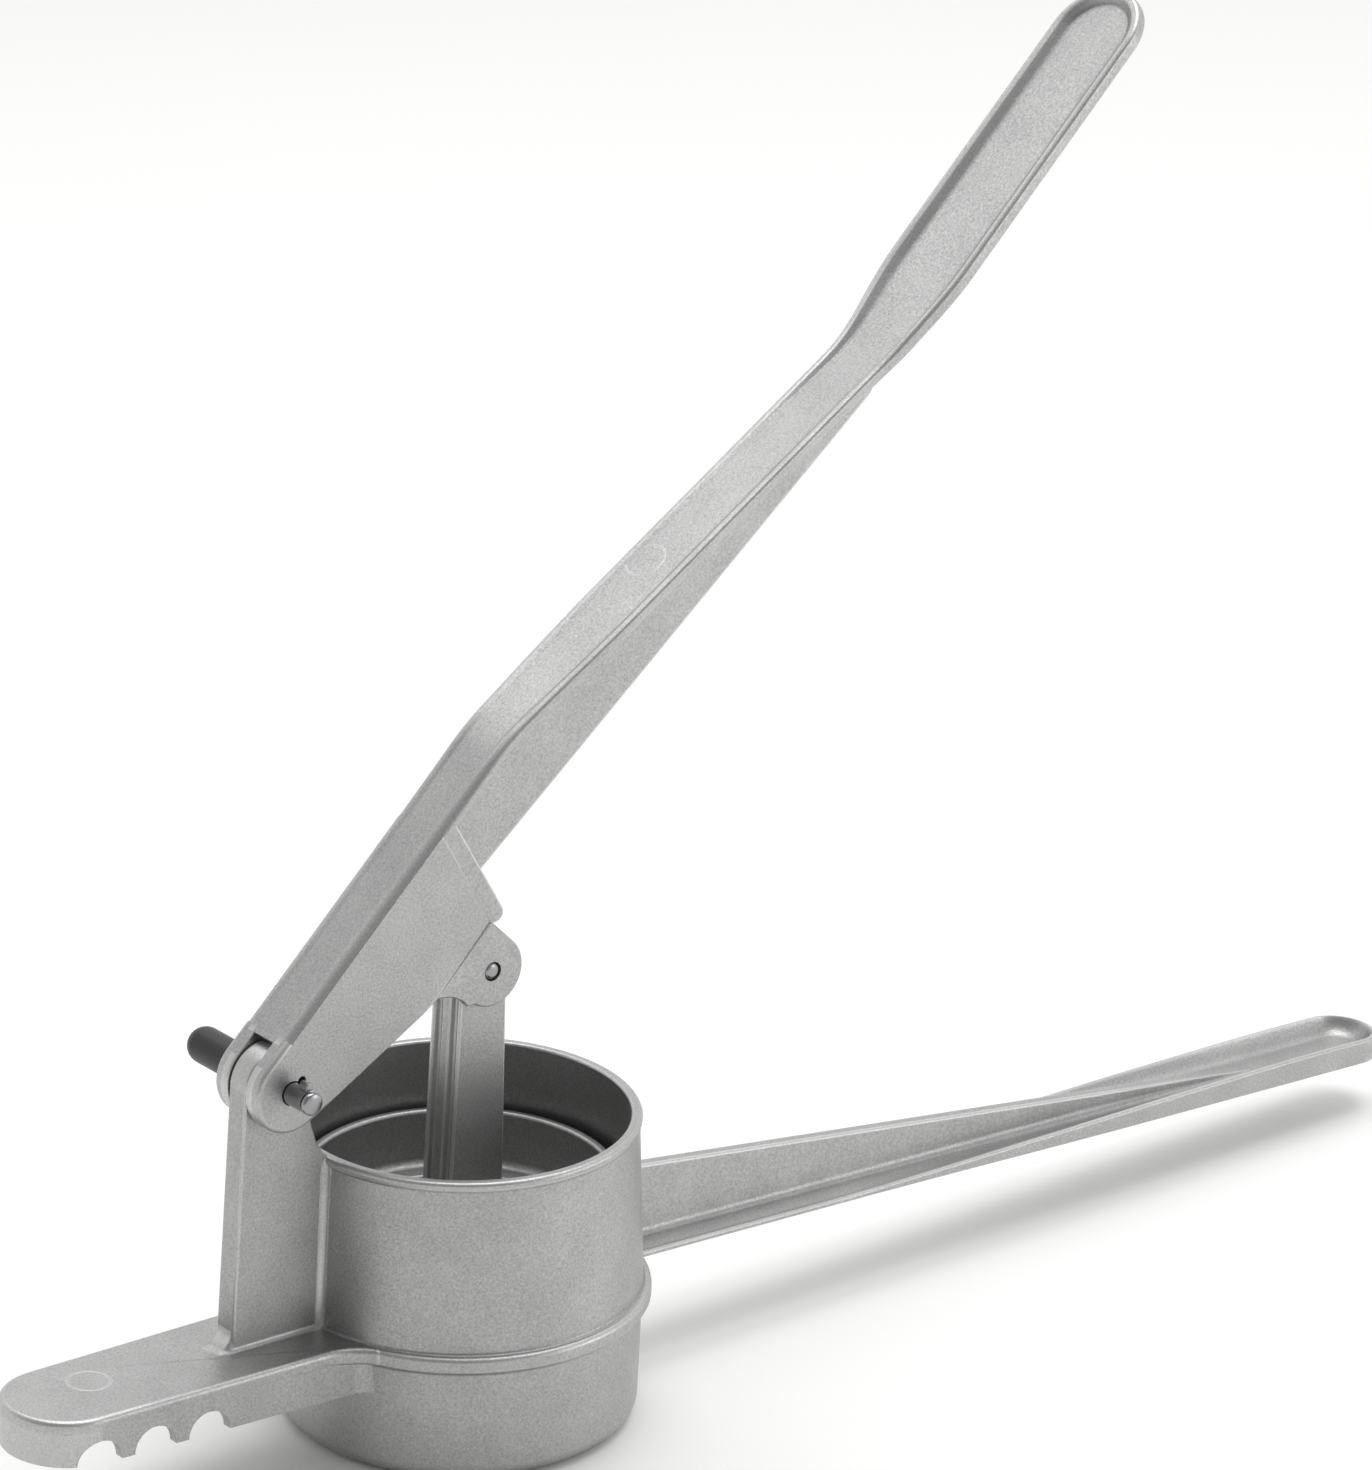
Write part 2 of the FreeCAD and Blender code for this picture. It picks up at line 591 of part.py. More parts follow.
def lever_web():
    """Web under the arm, above a straight lower edge, starting at the end wall."""
    start = from_pivot(LEVER_WEB_LOW)
    low_way = direction(LEVER_WEB_ANGLE)
    cover = Part.Face(Part.makePolygon([
        start - low_way * HEIGHT_OF_WALL, start + low_way * FAR, start + V(0, 0, FAR),
        start - low_way * HEIGHT_OF_WALL]))
    half = WEB_THICKNESS / 2
    web = slab(strip_face(LEVER_FLANGE, HEIGHT_OF_WALL), -half, half)
    web = web.common(slab(cover, -half, half))
    edge = wall_foot + wall_out * END_WALL_THICKNESS
    behind = Part.Face(Part.makePolygon([
        edge - wall_up * FAR, edge + wall_up * FAR, edge + wall_up * FAR - wall_out * FAR,
        edge - wall_up * FAR - wall_out * FAR, edge - wall_up * FAR]))
    web = web.cut(slab(behind, -half - CUT, half + CUT))
    return web.common(beside(GRIP_START_X, True))


def lever_grip():
    body = slab(strip_face(0, GRIP_THICKNESS), -GRIP_HALF, GRIP_HALF)
    body = body.common(beside(GRIP_START_X, False))
    hollow = slab(strip_face(GRIP_WALL, GRIP_THICKNESS + CUT), -GRIP_HALF + GRIP_WALL,
                  GRIP_HALF - GRIP_WALL)
    hollow = hollow.common(beside(GRIP_START_X + GRIP_WALL, False))

    def plan(inset):
        """Plan of the grip: it widens from the arm and ends in a half circle."""
        half = GRIP_HALF - inset
        arm = ARM_HALF - inset
        shoulder = GRIP_TIP_X - GRIP_HALF * grip_way.x
        edges = [
            Part.makeLine(V(GRIP_START_X - CUT, -arm, 0), V(GRIP_START_X + FLARE_START, -arm, 0)),
            Part.makeLine(V(GRIP_START_X + FLARE_START, -arm, 0),
                          V(GRIP_START_X + FLARE_END, -half, 0)),
            Part.makeLine(V(GRIP_START_X + FLARE_END, -half, 0), V(shoulder, -half, 0)),
            Part.makeLine(V(shoulder, -half, 0), V(GRIP_TIP_X + 2 * GRIP_HALF, -half, 0)),
        ]
        mirrored = [e.mirror(V(0, 0, 0), ACROSS) for e in edges]
        ends = [
            Part.makeLine(V(GRIP_TIP_X + 2 * GRIP_HALF, -half, 0),
                          V(GRIP_TIP_X + 2 * GRIP_HALF, half, 0)),
            Part.makeLine(V(GRIP_START_X - CUT, arm, 0), V(GRIP_START_X - CUT, -arm, 0)),
        ]
        wire = Part.Wire(Part.__sortEdges__(edges + mirrored + ends))
        return Part.Face(wire).extrude(V(0, 0, FAR))

    def tip(inset):
        """Rounded tip, square to the grip."""
        centre = grip_tip - grip_way * GRIP_HALF
        normal = left_of(grip_way)
        half = GRIP_HALF - inset
        disc = Part.makeCylinder(half, 2 * HEIGHT_OF_WALL, centre - normal * HEIGHT_OF_WALL, normal)
        back = Part.makeBox(FAR, 2 * half, 2 * HEIGHT_OF_WALL, V(-FAR, -half, -HEIGHT_OF_WALL))
        back.rotate(V(0, 0, 0), ACROSS, -LEVER_GRIP_ANGLE)
        back.translate(centre)
        return disc.fuse(back)

    body = body.common(plan(0)).common(tip(0))
    hollow = hollow.common(plan(GRIP_WALL)).common(tip(GRIP_WALL))
    return body.cut(hollow)


save("lever_cheek_near", lever_cheek(-1))
save("lever_cheek_far", lever_cheek(1))
save("lever_flange", lever_flange())
save("lever_end_wall", lever_end_wall())
save("lever_web", lever_web())
save("lever_grip", lever_grip())
save("plunger_rivet", rod(PIVOT_X, PIVOT_Z, RIVET_RADIUS, -LEVER_HALF, LEVER_HALF))


# ---------------------------------------------------------------- plunger

def plunger_stem():
    """Three upright plates joined by a cross web, with an eye for the rivet."""
    foot = PISTON_BOTTOM + PISTON_FLOOR
    top = PIVOT_Z
    eye_left = PIVOT_X - STEM_EYE_RADIUS
    left_foot = PIVOT_X + STEM_LEFT_FOOT
    right = PIVOT_X + STEM_RIGHT
    outline = Part.Face(Part.makePolygon([
        V(left_foot, 0, foot), V(right, 0, foot), V(PIVOT_X + STEM_EYE_RADIUS, 0, top),
        V(eye_left, 0, top), V(left_foot, 0, foot)]))
    plates = []
    for middle, thickness in ((-STEM_HALF + STEM_PLATE / 2, STEM_PLATE), (0, STEM_RIB),
                              (STEM_HALF - STEM_PLATE / 2, STEM_PLATE)):
        low = middle - thickness / 2
        high = middle + thickness / 2
        plates.append(slab(outline, low, high))
        plates.append(rod(PIVOT_X, PIVOT_Z, STEM_EYE_RADIUS, low, high))
    centre = (left_foot + right) / 2
    cross = Part.makeBox(STEM_CROSS, 2 * STEM_HALF, top - foot,
                         V(centre - STEM_CROSS / 2, -STEM_HALF, foot))
    boss = rod(PIVOT_X, PIVOT_Z, STEM_BOSS_RADIUS, -STEM_HALF, STEM_HALF)
    shape = plates[0].multiFuse(plates[1:] + [cross, boss])
    hole = rod(PIVOT_X, PIVOT_Z, RIVET_RADIUS + RUNNING_CLEARANCE, -STEM_HALF - CUT,
               STEM_HALF + CUT)
    return shape.cut(hole).removeSplitter()


def piston_disc(radius, low, high):
    return Part.makeCylinder(radius, high - low, V(PISTON_SHIFT, 0, low))


save("plunger_stem", plunger_stem())
save("piston_floor", piston_disc(PISTON_RADIUS - PISTON_SKIRT_WALL, PISTON_BOTTOM,
                                 PISTON_BOTTOM + PISTON_FLOOR))
save("piston_skirt", piston_disc(PISTON_RADIUS, PISTON_BOTTOM, PISTON_SKIRT_TOP).cut(
    piston_disc(PISTON_RADIUS - PISTON_SKIRT_WALL, PISTON_BOTTOM - CUT, PISTON_SKIRT_TOP + CUT)))


# ---------------------------------------------------------------- hinge pin

def pin_shank():
    shank = rod(HINGE_X, HINGE_Z, PIN_RADIUS, PIN_TIP_Y, CAP_END_Y - CAP_RADIUS)
    ring = rod(HINGE_X, HINGE_Z, PIN_RADIUS + CUT, PIN_GROOVE_Y, PIN_GROOVE_Y + PIN_GROOVE_WIDTH)
    core = rod(HINGE_X, HINGE_Z, PIN_RADIUS - PIN_GROOVE_DEPTH, PIN_GROOVE_Y - CUT,
               PIN_GROOVE_Y + PIN_GROOVE_WIDTH + CUT)
    return shank.cut(ring.cut(core))


def pin_key():
    """Flat key that keeps the pin from sliding back through the ears."""
    blade = Part.makeBox(KEY_HEIGHT + KEY_ROOT, KEY_LENGTH, KEY_THICKNESS,
                         V(PIN_RADIUS - KEY_ROOT, KEY_START_Y - KEY_LENGTH, -KEY_THICKNESS / 2))
    blade.rotate(V(0, 0, 0), ACROSS, -KEY_ANGLE)
    blade.translate(V(HINGE_X, 0, HINGE_Z))
    return blade.cut(rod(HINGE_X, HINGE_Z, PIN_RADIUS, PIN_TIP_Y, 0))


def pin_cap():
    end = CAP_END_Y - CAP_RADIUS
    barrel = rod(HINGE_X, HINGE_Z, CAP_RADIUS, CAP_START_Y, end)
    dome = Part.makeSphere(CAP_RADIUS, V(HINGE_X, end, HINGE_Z))
    bore = rod(HINGE_X, HINGE_Z, PIN_RADIUS, CAP_START_Y - CUT, end)
    return barrel.fuse(dome).removeSplitter().cut(bore)


save("hinge_pin", pin_shank())
save("pin_key", pin_key())
save("pin_cap", pin_cap())
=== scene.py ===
import bpy
import bmesh
import math
from mathutils import Matrix, Vector


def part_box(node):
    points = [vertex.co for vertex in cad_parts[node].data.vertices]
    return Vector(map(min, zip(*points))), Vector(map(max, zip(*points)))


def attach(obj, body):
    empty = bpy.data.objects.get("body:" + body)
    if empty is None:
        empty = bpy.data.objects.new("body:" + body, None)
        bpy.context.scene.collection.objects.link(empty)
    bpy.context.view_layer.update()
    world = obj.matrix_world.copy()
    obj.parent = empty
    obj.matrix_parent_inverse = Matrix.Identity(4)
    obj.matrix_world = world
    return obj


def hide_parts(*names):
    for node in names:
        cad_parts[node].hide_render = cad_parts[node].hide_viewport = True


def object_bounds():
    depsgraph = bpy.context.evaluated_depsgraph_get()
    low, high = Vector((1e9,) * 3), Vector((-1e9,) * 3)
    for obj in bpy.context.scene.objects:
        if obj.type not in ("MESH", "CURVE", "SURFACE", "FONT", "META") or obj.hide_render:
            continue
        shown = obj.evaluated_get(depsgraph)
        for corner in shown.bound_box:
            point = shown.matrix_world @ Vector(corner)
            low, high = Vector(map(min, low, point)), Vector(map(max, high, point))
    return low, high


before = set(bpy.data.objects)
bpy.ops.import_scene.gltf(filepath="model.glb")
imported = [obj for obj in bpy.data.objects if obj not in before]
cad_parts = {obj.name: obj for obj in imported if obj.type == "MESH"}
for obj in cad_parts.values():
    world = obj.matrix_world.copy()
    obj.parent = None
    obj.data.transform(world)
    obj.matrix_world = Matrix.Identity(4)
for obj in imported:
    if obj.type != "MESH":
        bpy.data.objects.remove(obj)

cad_low, cad_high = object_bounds()

# ---------------------------------------------------------------- studio
# A pale seamless floor and three large diffusers: one overhead, one in front to the right
# and a weaker one to the left, as small metal goods are lit on a table.

MM = 0.001


def linear(code):
    """sRGB hex code to linear red, green, blue and an alpha of 1."""
    levels = [int(code[i:i + 2], 16) / 255 for i in (0, 2, 4)]
    return [v / 12.92 if v <= 0.04045 else ((v + 0.055) / 1.055) ** 2.4 for v in levels] + [1.0]


def new_material(name):
    """Material with its nodes, and its main shader."""
    made = bpy.data.materials.new(name)
    made.use_nodes = True
    return made, made.node_tree.nodes["Principled BSDF"]


def add_node(material, kind, settings=None, values=None, links=None):
    """Add a node: settings are its properties, values its sockets, links (from, to socket)."""
    node = material.node_tree.nodes.new(kind)
    for key, value in (settings or {}).items():
        setattr(node, key, value)
    for key, value in (values or {}).items():
        node.inputs[key].default_value = value
    for key, source in (links or {}).items():
        material.node_tree.links.new(source, node.inputs[key])
    return node


def link(material, source, target):
    material.node_tree.links.new(source, target)


# Seamless paper: matt, nearly white, with the faint cloudiness of its pulp.
paper, paper_shader = new_material("seamless paper")
paper_place = add_node(paper, "ShaderNodeTexCoord")
paper_pulp = add_node(paper, "ShaderNodeTexNoise", values={"Scale": 3.0, "Detail": 2.0},
                      links={"Vector": paper_place.outputs["Object"]})
paper_tone = add_node(paper, "ShaderNodeMix", {"data_type": "RGBA"},
                      {"A": linear("F7F7F6"), "B": linear("FAFAF9")},
                      {"Factor": paper_pulp.outputs["Fac"]})
link(paper, paper_tone.outputs["Result"], paper_shader.inputs["Base Color"])
paper_shader.inputs["Roughness"].default_value = 0.9

floor_bm = bmesh.new()
bmesh.ops.create_grid(floor_bm, x_segments=1, y_segments=1, size=6.0)
floor_mesh = bpy.data.meshes.new("studio_floor")
floor_bm.to_mesh(floor_mesh)
floor_bm.free()
studio_floor = bpy.data.objects.new("studio_floor", floor_mesh)
floor_mesh.materials.append(paper)
bpy.context.scene.collection.objects.link(studio_floor)
studio_floor.location.z = cad_low.z - 0.0002

world = bpy.data.worlds.new("studio_air")
world.use_nodes = True
world_place = world.node_tree.nodes.new("ShaderNodeTexCoord")
world_side = world.node_tree.nodes.new("ShaderNodeVectorMath")
world_side.operation = "DOT_PRODUCT"
world_side.inputs[1].default_value = (-0.5, -0.45, 0.74)
world_fade = world.node_tree.nodes.new("ShaderNodeMapRange")
world_fade.interpolation_type = "SMOOTHSTEP"
world_fade.inputs["From Min"].default_value = 0.0
world_fade.inputs["From Max"].default_value = 0.95
world_fade.inputs["To Min"].default_value = 1.06
world_fade.inputs["To Max"].default_value = 0.35
world.node_tree.links.new(world_place.outputs["Generated"], world_side.inputs[0])
world.node_tree.links.new(world_side.outputs["Value"], world_fade.inputs["Value"])
world.node_tree.links.new(world_fade.outputs["Result"],
                          world.node_tree.nodes["Background"].inputs["Strength"])
world.node_tree.nodes["Background"].inputs["Color"].default_value = linear("F8F8F8")
bpy.context.scene.world = world
bpy.context.scene.view_settings.view_transform = "Standard"


def diffuser(name, aimed_at, azimuth, elevation, distance, size, power):
    """Square soft light aimed at a point; azimuth 0 is over the near side, 90 over the handle."""
    data = bpy.data.lights.new(name, "AREA")
    data.shape = "SQUARE"
    data.size = size
    data.energy = power
    lamp = bpy.data.objects.new(name, data)
    turn, rise = math.radians(azimuth), math.radians(elevation)
    away = Vector((math.sin(turn) * math.cos(rise), -math.cos(turn) * math.cos(rise),
                   math.sin(rise)))
    lamp.location = Vector(aimed_at) + away * distance
    lamp.rotation_mode = "QUATERNION"
    lamp.rotation_quaternion = (-away).to_track_quat("-Z", "Y")
    bpy.context.scene.collection.objects.link(lamp)


diffuser("overhead_diffuser", (0.2, 0.3, 0.1), 60, 82, 2.0, 1.6, 26.0)
diffuser("back_diffuser", (0.09, 0.0, 0.23), 195, 44, 0.6, 0.25, 0.28)
diffuser("front_diffuser", (0.0, 0.0, 0.08), 40, 10, 1.2, 0.5, 1.7)

# A long lens a metre and a half off, looking down a little over the hinge side.
camera_data = bpy.data.cameras.new("camera")
camera = bpy.data.objects.new("camera", camera_data)
bpy.context.scene.collection.objects.link(camera)
bpy.context.scene.camera = camera
camera_data.lens = 154.78
camera_data.sensor_width = 36.0
right = Vector((0.76885, -0.63884, 0.02740))
upward = Vector((0.20743, 0.28973, 0.93436))
onward = Vector((0.60484, 0.71270, -0.35527))
aim = Vector((0.0740, 0.01093, 0.14791))
camera.matrix_world = Matrix.Translation(aim - onward * 1.49091) @ Matrix(
    (right, upward, -onward)).transposed().to_4x4()
camera_data.clip_start, camera_data.clip_end = 0.05, 20.0

# ---------------------------------------------------------------- cup
# The cup of the press, gravity die cast in aluminium in one shot with the pot rest, the
# hinge post and the fixed handle, then blasted. A bead runs round it level with the rest.

SHARP = math.radians(38)
EDGE_TURN_START = 0.25                # turn of the surface at an edge or corner where the edge lightening (wear and painted highlight) and the painted corner shade begin
EDGE_TURN_SPAN = 0.9
NARROW = 1.0                     # only the narrow faces that round an edge get the edge lightening or the painted corner shade


def in_millimetres(node):
    low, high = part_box(node)
    return low / MM, high / MM


def ease(value, start, end):
    """0 before start, 1 after end, smooth between."""
    share = min(1.0, max(0.0, (value - start) / (end - start)))
    return share * share * (3 - 2 * share)


def arc(x, z, radius, start, end, steps):
    """Points of a round stretch of an outline, by angle in degrees."""
    made = []
    for i in range(steps + 1):
        angle = math.radians(start + (end - start) * i / steps)
        made.append((x + radius * math.cos(angle), z + radius * math.sin(angle)))
    return made


def turned(profile, steps, closed=False):
    """Mesh turned round the Z axis from (radius, level) points."""
    bm = bmesh.new()
    points = [bm.verts.new((r, 0, z)) for r, z in profile]
    ring = list(zip(points, points[1:]))
    if closed:
        ring.append((points[-1], points[0]))
    edges = [bm.edges.new(pair) for pair in ring]
    bmesh.ops.spin(bm, geom=points + edges, cent=(0, 0, 0), axis=(0, 0, 1), dvec=(0, 0, 0),
                   angle=math.tau, steps=steps, use_merge=True, use_duplicate=False)
    return bm


def make_object(name, bm):
    """Close up the mesh, point its faces outwards, bring it to metres and show it."""
    bmesh.ops.remove_doubles(bm, verts=bm.verts, dist=0.0005)
    bmesh.ops.recalc_face_normals(bm, faces=bm.faces)
    bmesh.ops.scale(bm, vec=(MM, MM, MM), verts=bm.verts)
    mesh = bpy.data.meshes.new(name)
    bm.to_mesh(mesh)
    bm.free()
    made = bpy.data.objects.new(name, mesh)
    bpy.context.scene.collection.objects.link(made)
    return made


def keep_modified(piece):
    """Keep the mesh that the piece's modifiers make, and drop the modifiers."""
    graph = bpy.context.evaluated_depsgraph_get()
    mesh = bpy.data.meshes.new_from_object(piece.evaluated_get(graph))
    piece.modifiers.clear()
    piece.data = mesh


def finish_piece(piece, body, material, nodes=()):
    """Shade the piece, mark its convex edges for lightening (wear and painted highlight) and its
    concave corners for painted shade, and fix it to its body.
    """
    bm = bmesh.new()
    bm.from_mesh(piece.data)
    wear_and_highlight = bm.loops.layers.float.new("edge_wear_and_highlight")
    painted_shade = bm.loops.layers.float.new("corner_painted_shade")
    for face in bm.faces:
        face.smooth = True
    for edge in bm.edges:
        edge.smooth = edge.is_manifold and edge.calc_face_angle() < SHARP
    for vert in bm.verts:
        turns = [e.calc_face_angle_signed(0.0) for e in vert.link_edges if e.is_manifold]
        turn = sum(turns)
        for corner in vert.link_loops:
            face = corner.face
            if 2 * face.calc_area() / face.calc_perimeter() < NARROW * MM:
                # Convex turns set the edge lightening, partly wear and partly painted highlight;
                # concave turns set the painted corner shade.
                corner[wear_and_highlight] = min(1.0, max(0.0, (turn - EDGE_TURN_START) / EDGE_TURN_SPAN))
                corner[painted_shade] = min(1.0, max(0.0, (-turn - EDGE_TURN_START) / EDGE_TURN_SPAN))
    bm.to_mesh(piece.data)
    bm.free()
    piece.data.materials.clear()
    piece.data.materials.append(material)
    flat = piece.modifiers.new("flat faces stay flat", "WEIGHTED_NORMAL")
    flat.keep_sharp = True
    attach(piece, body)
    if nodes:
        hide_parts(*nodes)


# Cast aluminium, blasted with fine grit: a soft grey metal with a sparkle of tiny facets.
# The grit marks are about 0.25 mm; they are drawn at 0.55 mm, as coarse as they need to show.
cast_aluminium, cast_shader = new_material("blasted cast aluminium")
cast_shader.inputs["Metallic"].default_value = 1.0
cast_place = add_node(cast_aluminium, "ShaderNodeTexCoord")
cast_grit = add_node(cast_aluminium, "ShaderNodeTexNoise",
                     values={"Scale": 1 / (0.55 * MM), "Detail": 3.0, "Roughness": 0.6},
                     links={"Vector": cast_place.outputs["Object"]})
cast_cloud = add_node(cast_aluminium, "ShaderNodeTexNoise",
                      values={"Scale": 1 / (14 * MM), "Detail": 3.0},
                      links={"Vector": cast_place.outputs["Object"]})
cast_spread = add_node(cast_aluminium, "ShaderNodeMapRange",
                       values={"From Min": 0.3, "From Max": 0.7},
                       links={"Value": cast_grit.outputs["Fac"]})
cast_grain = add_node(cast_aluminium, "ShaderNodeMix", {"data_type": "RGBA"},
                      {"A": linear("A7A7A7"), "B": linear("C6C6C5")},
                      {"Factor": cast_spread.outputs["Result"]})
cast_mottle = add_node(cast_aluminium, "ShaderNodeMix", {"data_type": "RGBA", "blend_type": "MULTIPLY"},
                       {"Factor": 0.25},
                       {"A": cast_grain.outputs["Result"], "B": cast_cloud.outputs["Fac"]})
# Rounded convex edges are lightened towards E6E6E5: partly wear from handling, partly a painted
# highlight where the rounds catch the light.
cast_wear_and_highlight = add_node(cast_aluminium, "ShaderNodeAttribute", {"attribute_name": "edge_wear_and_highlight"})
cast_painted_shade_mask = add_node(cast_aluminium, "ShaderNodeAttribute", {"attribute_name": "corner_painted_shade"})
cast_edge_lightening = add_node(cast_aluminium, "ShaderNodeMath", {"operation": "MULTIPLY"}, {1: 0.55},
                     {0: cast_wear_and_highlight.outputs["Fac"]})
cast_rubbed_and_highlit = add_node(cast_aluminium, "ShaderNodeMix", {"data_type": "RGBA"},
                       {"B": linear("E6E6E5")},
                       {"Factor": cast_edge_lightening.outputs["Value"], "A": cast_mottle.outputs["Result"]})
# Concave corners and creases are darkened towards 5A5A5A: painted shade where light does not reach into
# them.
cast_corner_shade = add_node(cast_aluminium, "ShaderNodeMath", {"operation": "MULTIPLY"}, {1: 0.45},
                       {0: cast_painted_shade_mask.outputs["Fac"]})
cast_colour = add_node(cast_aluminium, "ShaderNodeMix", {"data_type": "RGBA"},
                       {"B": linear("5A5A5A")},
                       {"Factor": cast_corner_shade.outputs["Value"], "A": cast_rubbed_and_highlit.outputs["Result"]})
link(cast_aluminium, cast_colour.outputs["Result"], cast_shader.inputs["Base Color"])
cast_gloss = add_node(cast_aluminium, "ShaderNodeMapRange",
                      values={"From Min": 0.3, "From Max": 0.7, "To Min": 0.5, "To Max": 0.38},
                      links={"Value": cast_grit.outputs["Fac"]})
link(cast_aluminium, cast_gloss.outputs["Result"], cast_shader.inputs["Roughness"])
cast_relief = add_node(cast_aluminium, "ShaderNodeBump",
                       values={"Strength": 0.35, "Distance": 0.12 * MM},
                       links={"Height": cast_grit.outputs["Fac"]})
link(cast_aluminium, cast_relief.outputs["Normal"], cast_shader.inputs["Normal"])

cup_high = in_millimetres("cup_wall")[1]
sieve_high = in_millimetres("sieve_base")[1]
post_low, post_high = in_millimetres("hinge_post")

BEAD_RADIUS = cup_high.x
REST_LEVEL = 32.8                # top of the bead and of the rest beside it
CUP_TOP = cup_high.z
SEAT_RADIUS = sieve_high.x
SEAT_LEVEL = sieve_high.z
BORE = 39.3
LIP_RADIUS = 42.0
SHOULDER = 43.1
WAIST = 42.9
FOOT = 42.4
FOOT_ROUND = 4.5
BEAD_HEIGHT = 4.2
BEAD_ROUND = 1.3
LIP_BAND = 2.2                   # height of the rolled band under the lip

bead_base = REST_LEVEL - BEAD_HEIGHT
cup_profile = (
    [(SEAT_RADIUS, 0.0)]
    + arc(FOOT - FOOT_ROUND, FOOT_ROUND, FOOT_ROUND, -90, 0, 10)
    + arc(WAIST + BEAD_ROUND, bead_base - BEAD_ROUND, BEAD_ROUND, 180, 90, 5)
    + arc(BEAD_RADIUS - BEAD_ROUND, bead_base + BEAD_ROUND, BEAD_ROUND, -90, 0, 6)
    + arc(BEAD_RADIUS - BEAD_ROUND, REST_LEVEL - BEAD_ROUND, BEAD_ROUND, 0, 90, 6)
    + arc(SHOULDER + 0.8, REST_LEVEL + 0.8, 0.8, -90, -180, 5)
    + [(LIP_RADIUS - 0.55, CUP_TOP - LIP_BAND - 0.6), (LIP_RADIUS - 0.45, CUP_TOP - LIP_BAND - 0.1),
       (LIP_RADIUS - 0.12, CUP_TOP - LIP_BAND + 0.4)]
    + arc(LIP_RADIUS - 1.0, CUP_TOP - 1.0, 1.0, -10, 90, 8)
    + arc(BORE + 0.7, CUP_TOP - 0.7, 0.7, 90, 180, 5)
    + [(BORE, SEAT_LEVEL + 1.0), (BORE - 1.0, SEAT_LEVEL), (SEAT_RADIUS, SEAT_LEVEL)]
)
cup = make_object("cup", turned(cup_profile, 180, closed=True))
finish_piece(cup, "body", cast_aluminium, ["cup_wall"])

# The perforated base is the cup's own floor, drilled through; the CAD shape is right.
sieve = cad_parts["sieve_base"]
sieve.data.materials.clear()
sieve.data.materials.append(cast_aluminium)

# ---------------------------------------------------------------- pot rest
# The notched nose that hooks over a pot's rim: a flat top with skirts, cast hollow below.
# It runs into the cup's bead with a wide round corner on each side.

REST_TIP = 126.2
REST_HALF_TIP = 14.8
REST_HALF_ROOT = 15.8
REST_CORNER = 11.0               # round corner into the bead, seen from above
SKIRT_CORNER = 5.0               # and of the skirt into the wall below
REST_WALL = 2.6
REST_SINK = 2.2                  # how far the rest reaches into the cup's wall
REST_DEPTH_TIP = 10.9
REST_DEPTH_ROOT = 12.3
REST_TILT = math.radians(1.76)   # it climbs from the bead towards its tip
REST_ROUND = 1.4
NOTCH_RADIUS = 5.6
NOTCH_PITCH = 14.6
NOTCH_FIRST = 111.8
EJECTOR = 4.9
CAST_ROUND = 0.8                 # the small round that the die leaves on every other edge


def add_plate(bm, outline, low, high):
    """Plate with a side view given by (x, z) points, from y = low to y = high."""
    rim = [bm.verts.new((x, low, z)) for x, z in outline]
    face = bm.faces.new(rim)
    grown = bmesh.ops.extrude_face_region(bm, geom=[face])["geom"]
    moved = [g for g in grown if isinstance(g, bmesh.types.BMVert)]
    bmesh.ops.translate(bm, vec=(0, high - low, 0), verts=moved)
    return rim + moved


def add_slab(bm, outline, low, high):
    """Slab with a plan given by (x, y) points, from z = low to z = high."""
    rim = [bm.verts.new((x, y, low)) for x, y in outline]
    face = bm.faces.new(rim)
    grown = bmesh.ops.extrude_face_region(bm, geom=[face])["geom"]
    moved = [g for g in grown if isinstance(g, bmesh.types.BMVert)]
    bmesh.ops.translate(bm, vec=(0, 0, high - low), verts=moved)
    return rim + moved


def round_edges(bm, edges, radius, segments):
    bmesh.ops.recalc_face_normals(bm, faces=bm.faces)
    bmesh.ops.bevel(bm, geom=list(edges), offset=radius, offset_type="OFFSET", affect="EDGES",
                    segments=segments, profile=0.5, material=-1, clamp_overlap=True)


def cut_away(piece, cutter_bm):
    """Take the cutter's shape out of the piece."""
    cutter = make_object("cutter", cutter_bm)
    cut = piece.modifiers.new("cut", "BOOLEAN")
    cut.operation = "DIFFERENCE"
    cut.solver = "EXACT"
    cut.object = cutter
    keep_modified(piece)
    bpy.data.objects.remove(cutter)


def add_mesh(piece, part):
    """Make another object's mesh a part of the piece."""
    bm = bmesh.new()
    bm.from_mesh(piece.data)
    bm.from_mesh(part.data)
    bm.to_mesh(piece.data)
    bm.free()
    bpy.data.objects.remove(part)


def climb(x):
    """How far the rest's top stands above the bead at x."""
    return math.tan(REST_TILT) * max(0.0, -x - SHOULDER)


def rest_plan(inset, wall, round_in):
    """Plan of the rest, set in from its outside: from a wall of that radius by a round corner,
    round the tip and back, closed by an arc that stays inside the cup's wall."""
    corner_y = REST_HALF_ROOT + round_in
    corner_x = math.sqrt((wall + round_in) ** 2 - corner_y ** 2)
    turn = math.degrees(math.atan2(corner_y, corner_x))
    root = arc(0, 0, WAIST - REST_SINK - 0.2 * inset, 180, 180 - turn - 5, 8)
    corner = arc(-corner_x, corner_y, round_in + inset, -turn, -90, 10)
    shoulder = REST_TIP - REST_HALF_TIP
    side = root + corner + arc(-shoulder, 0, REST_HALF_TIP - inset, 90, 180, 24)
    return side + [(x, -y) for x, y in reversed(side[1:-1])]


rest_bm = bmesh.new()
rest_deep = REST_DEPTH_ROOT + 1.0
add_slab(rest_bm, rest_plan(0.01, WAIST - 0.02, SKIRT_CORNER), REST_LEVEL - rest_deep,
         REST_LEVEL - 1.2)
pot_rest = make_object("pot_rest", rest_bm)

